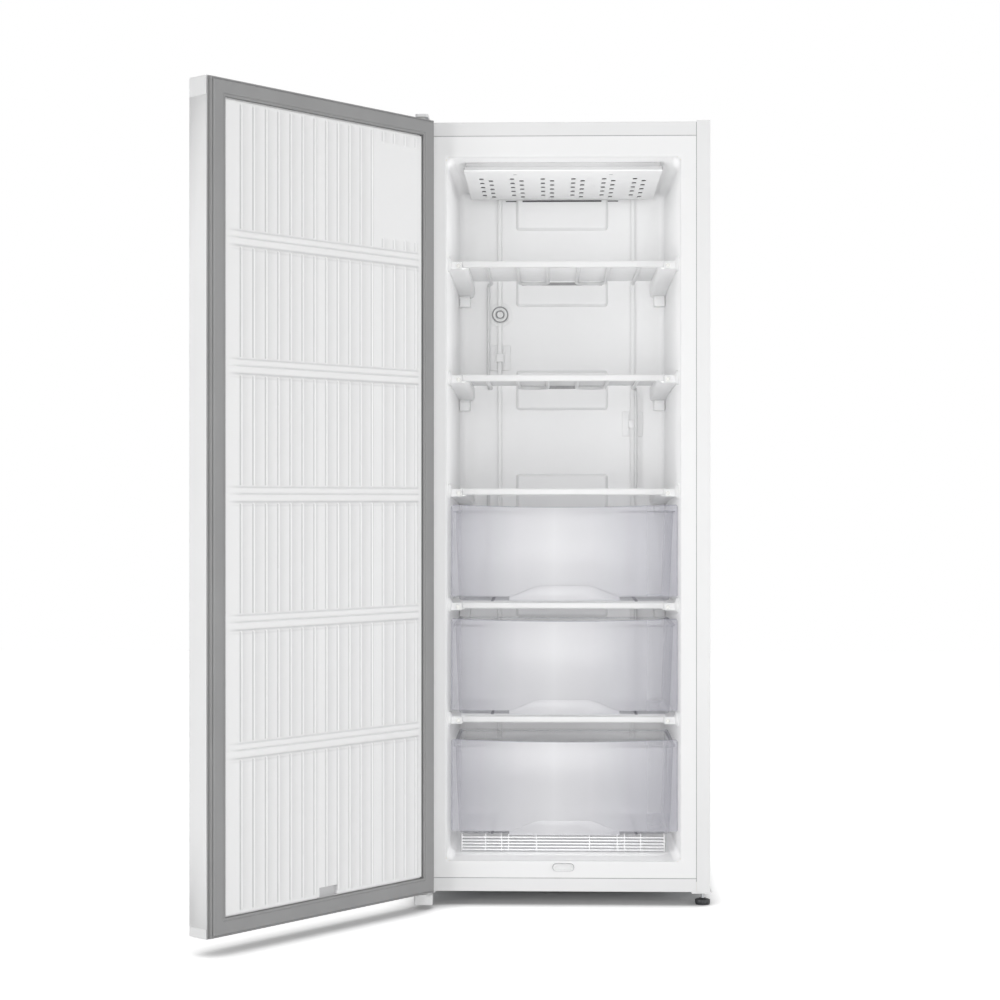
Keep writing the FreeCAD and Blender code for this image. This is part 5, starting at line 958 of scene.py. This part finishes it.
def door_front():
    """Steel door face as a grid of outline stations by levels, left open where the grip sits."""
    outline = door_outline()
    left, right, low, high = GRIP
    fold = np.array([[-286.0, -14.8], [-297.2, -14.8]])
    stations = np.append(np.linspace(-260.0, left, 13), right)
    front = np.stack([stations, np.full(14, DOOR_FACE)], -1)
    path = np.concatenate([fold, outline[2:11], front, outline[11:], fold[::-1] * [-1, 1]])
    levels = np.array([52.0, 300.0, low, high, 1200.0, 1564.0])
    points = on_axis(np.repeat(path[None], len(levels), 0), levels[:, None], "Z")
    faces = grid_faces(len(levels), len(path))
    centre = points.reshape(-1, 3)[faces].mean(1)
    across, depth, level = centre.T
    hole = (across > left) & (across < right) & (depth < DOOR_FACE + 1) & (level > low) & (level < high)
    form = Form().add(points, faces[~hole])
    piece("door_steel_face", form, "white_steel", ["door_skin"], body="door", finish=door_paint_lit_brighter, wall=0.8)


def door_grip():
    """Recessed grip: rings run from a rounded flange over its edge and down into the pocket's floor."""
    form = Form()
    left, right, low, high = GRIP
    flange = rounded(left - 5.0, right + 5.0, low - 5.0, high + 5.0, 10.0, 6)
    inset = [0.0, 0.4, 1.2, 5.0, 6.4, 7.0, 7.2, 8.0, 11.0, 15.0]
    depth = [DOOR_FACE, -64.9, -65.4, -65.4, -64.9, -63.5, -46.0, -42.5, -40.8, -40.4]
    shrunk(form, flange, inset, depth, "Y")
    piece("door_grip_cup", form, "white_plastic", ["door_grip"], body="door", smooth=40)


def bumps(x, centres, half_width):
    """Row of rounded ribs: the square root of one minus the squared distance to the nearest centre."""
    near = np.abs(x[:, None] - np.asarray(centres)[None]).min(1) / half_width
    return np.sqrt(np.clip(1 - near ** 2, 0, 1))


def door_liner():
    """Door liner as a height over the door's plane: soft-edged field, upright ribs, double cross beads, and
    a fold value that paints shade beside the ribs and beads and in the notch.
    """
    ribs = 220.6 - 31.02 * np.arange(16)
    bands = 369.5 + 235.1 * np.arange(5)
    local = np.array([-2.6, -1.8, -0.9, 0.0, 0.9, 1.6, 2.4, 3.6, 5.0, 6.4])
    x = np.concatenate([(ribs[:, None] + local).ravel(), [-291, -263, -262, -261, -260, -258, -256]])
    x = np.concatenate([x, [256, 258, 260, 261, 262, 263, 291], [-24.0, -22.5, 22.5, 24.0, -125.5, -127.0]])
    across = np.array([-24, -22, -20, -18, -16, -15, -14, -13, -11, -9, -6.1, -3, -1, 0.3, 1.5, 2.7, 4, 6,
                       7.6, 9.5, 11.5, 12.7, 13.7, 14.5, 15, 16, 18, 20, 22])
    z = np.concatenate([
        (bands[:, None] + across).ravel(), [40, 69.6, 70.5, 71.5, 72.5, 74, 77, 80, 84, 88.7, 90.2],
        [1343, 1346, 1349, 1531, 1534, 1537, 1553, 1556, 1559, 1561, 1562, 1563, 1563.8, 1593]])
    x, z = np.unique(np.round(x, 2)), np.unique(np.round(z, 2))
    grid_x, grid_z = np.meshgrid(x, z, indexing="xy")
    edge = np.minimum(262.0 - np.abs(grid_x), np.minimum(grid_z - 70.5, 1562.8 - grid_z))
    rise = np.clip(edge / 2.2, 0, 1)
    rise = rise * rise * (3 - 2 * rise)
    field = 8.0 * rise
    clear = np.abs(grid_z[:, :1] - bands[None]).min(1)
    fade = np.clip((clear - 15.0) / 3.0, 0, 1) * np.clip((grid_z[:, 0] - 76.0) / 4.0, 0, 1)
    fade = fade * np.clip((1557.0 - grid_z[:, 0]) / 4.0, 0, 1)
    bare = (grid_x > -250.0) & (grid_x < -124.5) & (grid_z > 1344.5) & (grid_z < 1535.0)
    rib_rise = np.where(bare, 0.0, 1.1 * bumps(x, ribs, 2.4)[None] * fade[:, None])
    inner = np.clip((254.0 - np.abs(grid_x)) / 3.0, 0, 1)
    bead_rise = (2.0 * bumps(z, bands + 7.6, 6.1) + 3.2 * bumps(z, bands - 6.1, 7.6))[:, None] * inner
    y = -12.5 + field + np.maximum(rib_rise, bead_rise)
    notch = (np.abs(grid_x) < 23.4) & (grid_z < 89.4)
    y = np.where(notch, -12.5, y)
    # painted shade: a strip of fold value just beside each rib
    beside = x[:, None] - ribs[None]
    line = np.clip((2.4 - np.abs(beside - 3.9)) / 1.0, 0, 1).max(1) * (0.72 + 0.0011 * x)
    fold = np.where(bare, 0.0, line[None] * fade[:, None])
    # painted shade: fold value in lines beside the double beads
    shade_beside_beads = ((13.7, 0.6), (1.5, 0.5), (-13.7, 0.9), (-20.0, 0.3))
    bead_shade_lines = np.array([(band + off, dark) for band in bands for off, dark in shade_beside_beads])
    bead_shade = np.clip(1 - np.abs(z[:, None] - bead_shade_lines[None, :, 0]) / 3.2, 0, 1) * bead_shade_lines[None, :, 1]
    fold = np.maximum(fold, bead_shade.max(1)[:, None] * inner)
    # painted shade: the notch takes the full fold value
    fold = np.where(notch, 1.0, fold)
    points = np.stack([grid_x, y, grid_z], -1)
    form = Form().add(points, grid_faces(len(z), len(x)))
    field = piece("door_liner_field", form, "white_liner", ["door_liner"], body="door",
                  finish=liner_with_fold_shade(), smooth=60, wall=1.2)
    field.data.attributes.new("fold", "FLOAT", "POINT").data.foreach_set("value", fold.ravel())


def door_gasket():
    """Seal: a folded section of base, bellows and broad face carried round four mitred corners."""
    section = np.array([
        [-2.4, -12.4], [-2.4, -10.8], [-1.8, -10.3], [1.2, -10.0], [1.2, -9.3], [-1.0, -9.0],
        [-1.7, -8.4], [-1.7, -7.2], [-1.0, -6.8], [0.9, -6.6], [0.9, -6.1], [-0.8, -5.8], [-1.4, -5.2],
        [-1.3, -4.2], [-0.6, -3.6], [1.4, -3.4], [1.7, -4.6], [3.4, -4.6], [3.6, -1.2], [4.4, -0.5],
        [5.6, -0.3], [14.0, -0.3], [25.6, -0.3], [26.6, -0.7], [27.0, -1.6], [27.6, -1.6],
        [28.2, -0.9], [30.8, -0.9], [31.8, -1.6], [31.8, -2.6], [28.0, -4.6], [27.4, -7.0],
        [31.0, -9.2], [31.4, -12.4],
    ])
    signs = np.array([[-1, -1], [1, -1], [1, 1], [-1, 1]])
    half, low, high = 295.0, 37.2, 1595.8
    inset = section[None, :, 0]
    x = signs[:, :1] * (half - inset)
    z = np.where(signs[:, 1:] < 0, low + inset, high - inset)
    y = np.repeat(section[None, :, 1], 4, 0)
    form = Form()
    points = np.stack([x, y, z], -1)
    form.add(points, grid_faces(4, len(section), True, True))
    piece("door_seal", form, "grey_gasket", ["door_gasket"], body="door", smooth=25)


# ------------------------------------------------------------------ front seams, feet and rollers
def front_seam_shade():
    """Painted shade in the joints between the front flange and the folded panels: slim grey strips, just
    proud of the sheet.
    """
    form = Form()
    for z in (56.3, 1574.4):
        slab(form, rounded(-0.15, 0.4, z - 0.7, z + 0.7, 0.2, 2), -271.8, 271.8, "X", 0.1, 1)
    for side in (-1, 1):
        slab(form, on_side(side, 271.3, 272.6, -0.15, 0.4, 0.2, 2), 50.0, 1602.0, "Z", 0.1, 1)
    piece("front_panel_seam_shade", form, "black_rubber", finish=grey_gap_shade, smooth=40)


def feet():
    """Screw feet: a lobed disc whose radius follows eight cosine waves, on a stem with thread rings."""
    for name, side in (("left", -1), ("right", 1)):
        form = Form()
        a = np.arange(96) * 2 * math.pi / 96
        wave = 15.5 - 1.5 * (0.5 - 0.5 * np.cos(8 * a)) ** 2
        lobed = np.stack([wave * np.cos(a), wave * np.sin(a)], -1)
        plain = circle(0, 0, 14.6, 96)
        flat = [plain * 0.94, plain, plain, lobed * 0.97, lobed, lobed, lobed * 0.96, lobed * 0.6,
                plain * 0.45]
        foot = [side * 286.0, 25.0, 0.0]
        stacked(form, flat, [0.0, 0.6, 2.4, 2.8, 3.6, 9.0, 10.4, 11.2, 13.0], "Z", foot)
        piece("foot_disc_" + name, form, "dark_plastic", ["front_foot_" + name], body=name + "_foot",
              smooth=40)
        stem = Form()
        levels = np.linspace(12.0, 28.6, 46)
        radii = 3.6 + 0.35 * np.cos(levels * 2 * math.pi / 1.5)
        turned(stem, foot, "Z", radii, levels, 24)
        piece("foot_stem_" + name, stem, "zinc_steel", body=name + "_foot", smooth=60)


def bottom_hinge_cover():
    """Cap over the lower hinge's skirt: a rounded plan that draws in at its shoulder and lower rim."""
    form = Form()
    outline = rounded(-303.0, -265.0, -47.0, -19.0, 5.0)
    shrunk(form, outline, [1.2, 0.4, 0.0, 0.0, 0.6, 2.4], [8.6, 9.0, 10.0, 24.0, 26.6, 28.4], "Z")
    piece("bottom_hinge_cap", form, "white_plastic", smooth=40)


def rollers():
    """Rear rollers: a tread with rounded shoulders, a sunk web and a hub round the axle."""
    for name, side in (("left", -1), ("right", 1)):
        form = Form()
        radii = [3.1, 5.2, 5.2, 9.6, 10.4, 13.2, 13.9]
        steps = [8.0, 8.0, 6.0, 6.0, 8.0, 8.0, 7.0]
        steps = [-step for step in steps] + steps[::-1]
        turned(form, [side * 255.0, 560.0, 14.0], "X", radii + radii[::-1], steps, 40, wrap=True)
        piece("roller_wheel_" + name, form, "dark_plastic", ["rear_roller_" + name],
              body=name + "_roller", smooth=40)


# ------------------------------------------------------------------ cooling at the back
def compressor():
    """Welded compressor can: two drawn round halves, a rolled weld seam, foot rails, feet and nuts."""
    form = Form()
    base = 47.0
    a = np.linspace(0, math.pi / 2, 9)
    radii = np.concatenate([[30.0], 40.0 + 34.0 * np.sin(a), [74.0, 77.6, 78.0, 77.6, 72.0],
                            38.0 + 34.0 * np.cos(a), [20.0, 2.0]])
    heights = np.concatenate([[0.0], 34.0 * (1 - np.cos(a)), [71.0, 71.4, 73.6, 76.0, 76.6],
                              124.0 + 32.0 * np.sin(a), [157.6, 158.0]])
    centre_x, centre_y = COMPRESSOR
    turned(form, [centre_x, centre_y, base], "Z", radii, heights, 56)
    for side in (-1, 1):
        y = centre_y + side * 48.4
        slab(form, rounded(-11.0, 191.0, y - 12.5, y + 12.5, 11.0), base - 3.0, base + 0.2, "Z", 0.8)
    for angle in (0.4, 2.2, 4.1):
        x, y = centre_x + 60 * math.cos(angle), centre_y + 60 * math.sin(angle)
        turned(form, [x, y, base + 138.0], "Z", [4.5, 4.5, 3.6, 0.5], [0, 9.0, 11.0, 11.4], 16)
    piece("compressor_can", form, "black_steel", ["compressor"], smooth=40)
    feet_form = Form()
    studs = Form()
    for sx in (-1, 1):
        for sy in (-1, 1):
            centre = [centre_x + sx * 88.0, centre_y + sy * 48.4, 31.0]
            turned(feet_form, centre, "Z", [7.0, 10.0, 10.0, 7.6, 7.6, 10.0, 10.0, 7.0],
                   [0, 0.8, 4.2, 5.0, 8.0, 9.0, 12.2, 13.0], 28)
            turned(studs, centre, "Z", [3.6, 3.6, 6.4, 6.4, 5.8, 2.0],
                   [-1.8, 16.2, 16.2, 20.6, 21.6, 21.8], 6)
    piece("compressor_rubber_feet", feet_form, "black_rubber", ["compressor_grommets"], smooth=40)
    piece("compressor_foot_nuts", studs, "zinc_steel")


def bay_boxes():
    """Terminal cover with ribs, cord inlet, and thermostat housing with a ring of dots and four screws."""
    cover = Form()
    x0, x1 = -18.8, 11.2
    slab(cover, rounded(466.6, 528.4, 92.2, 161.8, 6.0), x0, x1 - 0.6, "X", 2.0, 4)
    slab(cover, rounded(472.0, 523.0, 98.0, 156.0, 5.0), x0, x0 + 2.0, "X", 0.6)
    for z in (108.0, 116.0, 124.0):
        slab(cover, rounded(500.0, 522.0, z, z + 3.0, 1.4), x0, x0 + 3.0, "X", 0.5)
    piece("terminal_cover", cover, "dark_plastic", ["terminal_box"], smooth=40)
    gland = Form()
    radii = [6.2, 6.2, 9.0, 9.0, 8.2, 8.2, 8.8, 8.8, 7.4, 7.4, 8.0, 8.0, 6.4, 6.0, 3.4, 3.4]
    heights = [-5.9, 0, 0, 2.0, 2.4, 3.6, 4.0, 5.4, 5.8, 7.0, 7.4, 8.8, 9.2, 12.0, 12.0, 4.0]
    turned(gland, [-3.8, 528.5, 108.0], "Y", radii, heights, 28)
    piece("cord_inlet", gland, "black_rubber", ["cord_gland"], smooth=40)
    box = Form()
    slab(box, rounded(-254.8, -175.2, 31.2, 102.8, 6.0), 544.2, 585.8, "Y", 1.8, 4)
    dial_x, dial_z = DIAL
    turned(box, [dial_x, 0, dial_z], "Y", [24.0, 24.0, 22.6, 18.0], [585.0, 586.4, 586.9, 586.2], 48)
    for a in np.radians(np.linspace(-225, 45, 10)):
        dot = [dial_x + 20.6 * math.cos(a), 0, dial_z + 20.6 * math.sin(a)]
        turned(box, dot, "Y", [0.9, 0.9, 0.4], [586.2, 587.2, 587.3], 10)
    piece("thermostat_housing", box, "dark_plastic", ["thermostat_box"], smooth=40)
    screws = Form()
    for x, z in ((-248, 38), (-182, 38), (-248, 96), (-182, 96)):
        screw_head(screws, [x, 585.6, z], "Y", 1, 3.2, 1.2)
    piece("thermostat_screws", screws, "zinc_steel")


def control_knob():
    """Knob: a skirt whose radius follows sixteen small flutes, a raised finger bar and a pointer line."""
    form = Form()
    a = np.arange(128) * 2 * math.pi / 128
    fluted = 15.9 - 0.9 * (0.5 - 0.5 * np.cos(16 * a))
    skirt = np.stack([fluted * np.cos(a), fluted * np.sin(a)], -1)
    plain = circle(0, 0, 15.0, 128)
    flat = [plain * 0.97, skirt, skirt, skirt * 0.93, plain * 0.8]
    stacked(form, flat, [586.4, 587.2, 594.0, 595.6, 596.0], "Y", [DIAL[0], 0.0, DIAL[1]])
    slab(form, rounded(-217.6, -212.4, 54.0, 80.0, 2.4), 595.0, 599.3, "Y", 1.2)
    piece("thermostat_dial", form, "dark_plastic", ["thermostat_knob"], body="control_knob", smooth=40)
    mark = Form()
    slab(mark, rounded(-215.5, -214.5, 70.0, 79.0, 0.4), 599.0, 599.3, "Y", 0.1, 1)
    piece("thermostat_dial_mark", mark, "white_plastic", body="control_knob")


def condenser():
    """Condenser: one tube to and fro in 15 runs, with 59 upright wires welded on behind it."""
    form = Form()
    corners = [[-215.0, CONDENSER_TUBE, CONDENSER_RUNS[0]]]
    for run, z in enumerate(CONDENSER_RUNS):
        x = 215.0 if run % 2 == 0 else -215.0
        corners.append([x, CONDENSER_TUBE, z])
        if run < 14:
            corners.append([x, CONDENSER_TUBE, CONDENSER_RUNS[run + 1]])
    pipe(form, line_with_bends(corners, 37.9, 12), 2.5, 10)
    x = np.linspace(-175.0, 175.0, 59)
    low = np.stack([x, np.full(59, 626.1), np.full(59, 316.0)], -1)
    wires(form, low, low + [0, 0, 1092.0], 0.8, 5)
    piece("condenser_grid", form, "black_steel", ["condenser"], smooth=50)


def pipes():
    """Copper pipes, each a route with rounded bends, and the drier as a turned can with crimped ends."""
    form = Form()
    turned(form, [-60.0, 465.0, 69.0], "Z", [2.6, 3.4, 8.6, 9.5, 9.5, 8.6, 3.4, 2.6],
           [0, 3, 12, 15, 80, 83, 92, 95], 32)
    outlet = [[-215.3, CONDENSER_TUBE, 330], [-239.3, CONDENSER_TUBE, 330], [-239.3, CONDENSER_TUBE, 211],
              [-239.3, 465, 211], [-60, 465, 211], [-60, 465, 163]]
    pipe(form, line_with_bends(outlet, 16.0), 2.5)
    capillary = [[-60, 465, 70], [-60, 465, 45], [-84, 465, 45], [-84, 465, 240.6]]
    pipe(form, line_with_bends(capillary, 8.0), 1.2, 8)
    piece("drier_and_capillary", form, "copper", ["filter_drier"], smooth=45)
    hot = Form()
    route = [[160.0, COMPRESSOR[1], 141.8], [239.3, COMPRESSOR[1], 141.8], [239.3, CONDENSER_TUBE, 141.8],
             [239.3, CONDENSER_TUBE, 1394], [215.3, CONDENSER_TUBE, 1394]]
    pipe(hot, line_with_bends(route, 16.0), 2.5)
    piece("hot_gas_pipe", hot, "copper", ["discharge_pipe"], smooth=45)
    cold = Form()
    route = [[90, 427.0, 141.8], [90, 405.5, 141.8], [90, 405.5, 240.6]]
    pipe(cold, line_with_bends(route, 12.6), 3.25)
    piece("suction_line", cold, "copper", ["suction_pipe"], smooth=45)


def back_screws():
    """Screws along both sides and the top of the back panel."""
    form = Form()
    for z in np.linspace(275.0, 1585.0, 7):
        for x in (-291.5, 291.5):
            screw_head(form, [x, 600.7, z], "Y", 1, 4.0, 1.8)
    for x in (-200.0, 0.0, 200.0):
        screw_head(form, [x, 600.7, 1592.0], "Y", 1, 4.0, 1.8)
    piece("back_panel_screws", form, "zinc_steel", smooth=40)


for make in (
    inner_liner, wall_fields, wall_gap_shade_strips, shelves, shelf_bars, side_supports, end_clips, upright_links,
    rear_posts, post_clips, tube_grommet, ceiling_cover, drawers, wire_stand, drain_spout, door_caps,
    door_front, door_grip, door_liner, door_gasket, front_seam_shade, feet, bottom_hinge_cover, rollers,
    compressor, bay_boxes, control_knob, condenser, pipes, back_screws,
):
    make()


# ------------------------------------------------------------------ floor, backdrop and light
def white_to_camera(name, base, share, reach):
    """Floor paint: its own lit colour plus a white share seen by camera, gloss and glass rays only.

    The white share fades where the object stands close over the floor, so that its shadow stays.
    """
    n = Nodes(name)
    tone = n.ramp(n.noise(3.0), [(0.3, tint(base, -0.003)), (0.7, tint(base, 0.003))])
    paint = n.node("ShaderNodeBsdfDiffuse")
    n.link(tone, paint.inputs["Color"])
    glow = n.node("ShaderNodeEmission")
    open_sky = n.node("ShaderNodeAmbientOcclusion", samples=16)
    open_sky.inputs["Distance"].default_value = reach
    free = n.node("ShaderNodeMapRange", interpolation_type="SMOOTHSTEP")
    free.inputs["From Min"].default_value = 0.25
    free.inputs["From Max"].default_value = 0.9
    free.inputs["To Max"].default_value = share
    n.link(open_sky.outputs["AO"], free.inputs["Value"])
    n.link(n.combined("MULTIPLY", n.seen_directly(), free.outputs[0]), glow.inputs["Strength"])
    both = n.node("ShaderNodeAddShader")
    n.link(paint.outputs[0], both.inputs[0])
    n.link(glow.outputs[0], both.inputs[1])
    return n.done(both)


def soft_lamp(name, shape, size, power, place):
    """An area lamp of the given width, length and watts, hidden from the camera."""
    light = bpy.data.lights.new(name, "AREA")
    light.shape = shape
    light.size, light.size_y = size
    light.energy = power
    lamp = bpy.data.objects.new(name, light)
    bpy.context.scene.collection.objects.link(lamp)
    lamp.location = place
    lamp.visible_camera = False
    return lamp


def stage():
    """Pale floor, a world that looks white but lights more softly, and five soft lamps."""
    x, y = np.meshgrid(np.linspace(-7, 7, 3), np.linspace(-7, 7, 3), indexing="xy")
    corners = np.stack([x, y, np.zeros_like(x)], -1).reshape(-1, 3)
    mesh = bpy.data.meshes.new("floor")
    mesh.from_pydata(corners.tolist(), [], grid_faces(3, 3).tolist())
    mesh.materials.append(white_to_camera("studio floor", (0.80, 0.80, 0.80), 0.72, 0.09))
    floor = bpy.data.objects.new("floor", mesh)
    bpy.context.scene.collection.objects.link(floor)

    n = Nodes("studio", bpy.data.worlds, "ShaderNodeOutputWorld")
    bpy.context.scene.world = n.material
    soft, white = (n.node("ShaderNodeBackground") for _ in range(2))
    for light, strength in ((soft, 0.36), (white, 1.0)):
        light.inputs["Color"].default_value = (1, 1, 1, 1)
        light.inputs["Strength"].default_value = strength
    n.done(n.mixed(n.seen_directly(), soft, white))

    for name, place, aim, size, power in (
        ("front", (0.35, -5.6, 1.0), (0.19, 0.2, 0.85), 2.0, 45.0),
        ("left", (-3.1, -4.1, 0.9), (0.25, 0.1, 0.85), 1.8, 58.0),
        ("right", (4.2, -2.6, 0.9), (0.1, 0.0, 0.85), 1.8, 46.0),
        ("low", (0.25, -2.4, 0.1), (0.2, 0.3, 1.3), 1.4, 8.0),
        ("top", (0.6, -1.2, 4.2), (0.2, 0.0, 0.4), 3.0, 14.0),
    ):
        lamp = soft_lamp(name, "DISK", (size, size), power, place)
        lamp.rotation_mode = "QUATERNION"
        lamp.rotation_quaternion = Vector(np.array(aim) - np.array(place)).to_track_quat("-Z", "Y")


def inner_cards():
    """Soft cards in the cabinet's mouth, over the top shelf and before the stand, hidden from view."""
    spared = bpy.data.collections.new("spared by the cards")
    for made in near_mouth:
        spared.objects.link(made)
    for entry in spared.collection_objects:
        entry.light_linking.link_state = "EXCLUDE"
    middle = (MOUTH_LOW + MOUTH_HIGH) / 2
    for name, place, size, tilt, power in (
        ("mouth card", [0.0, 2.0, middle], (0.46, 1.42), math.pi / 2, 1.45),
        ("ceiling card", [0.0, 250.0, 1345.0], (0.38, 0.34), math.pi, 0.13),
        ("stand card", [0.0, 62.0, 112.0], (0.40, 0.03), math.pi / 2, 0.035),
    ):
        card = soft_lamp(name, "RECTANGLE", size, power, placed(place))
        card.light_linking.receiver_collection = spared
        card.light_linking.blocker_collection = spared
        card.rotation_euler = (tilt, 0.0, 0.0)
        card.visible_glossy = card.visible_transmission = False


def camera():
    """Level camera 4.2 m in front, 0.83 m up, turned 1.42 degrees to the left."""
    lens = bpy.data.cameras.new("camera")
    lens.lens = 74.23
    lens.sensor_width = 36.0
    eye = bpy.data.objects.new("camera", lens)
    eye.location = (0.165678, -4.277725, 0.82962)
    eye.rotation_euler = (math.pi / 2, 0.0, math.radians(1.4204))
    bpy.context.scene.collection.objects.link(eye)
    bpy.context.scene.camera = eye


stage()
inner_cards()
camera()
bpy.context.scene.view_settings.view_transform = "Standard"
bpy.context.view_layer.update()
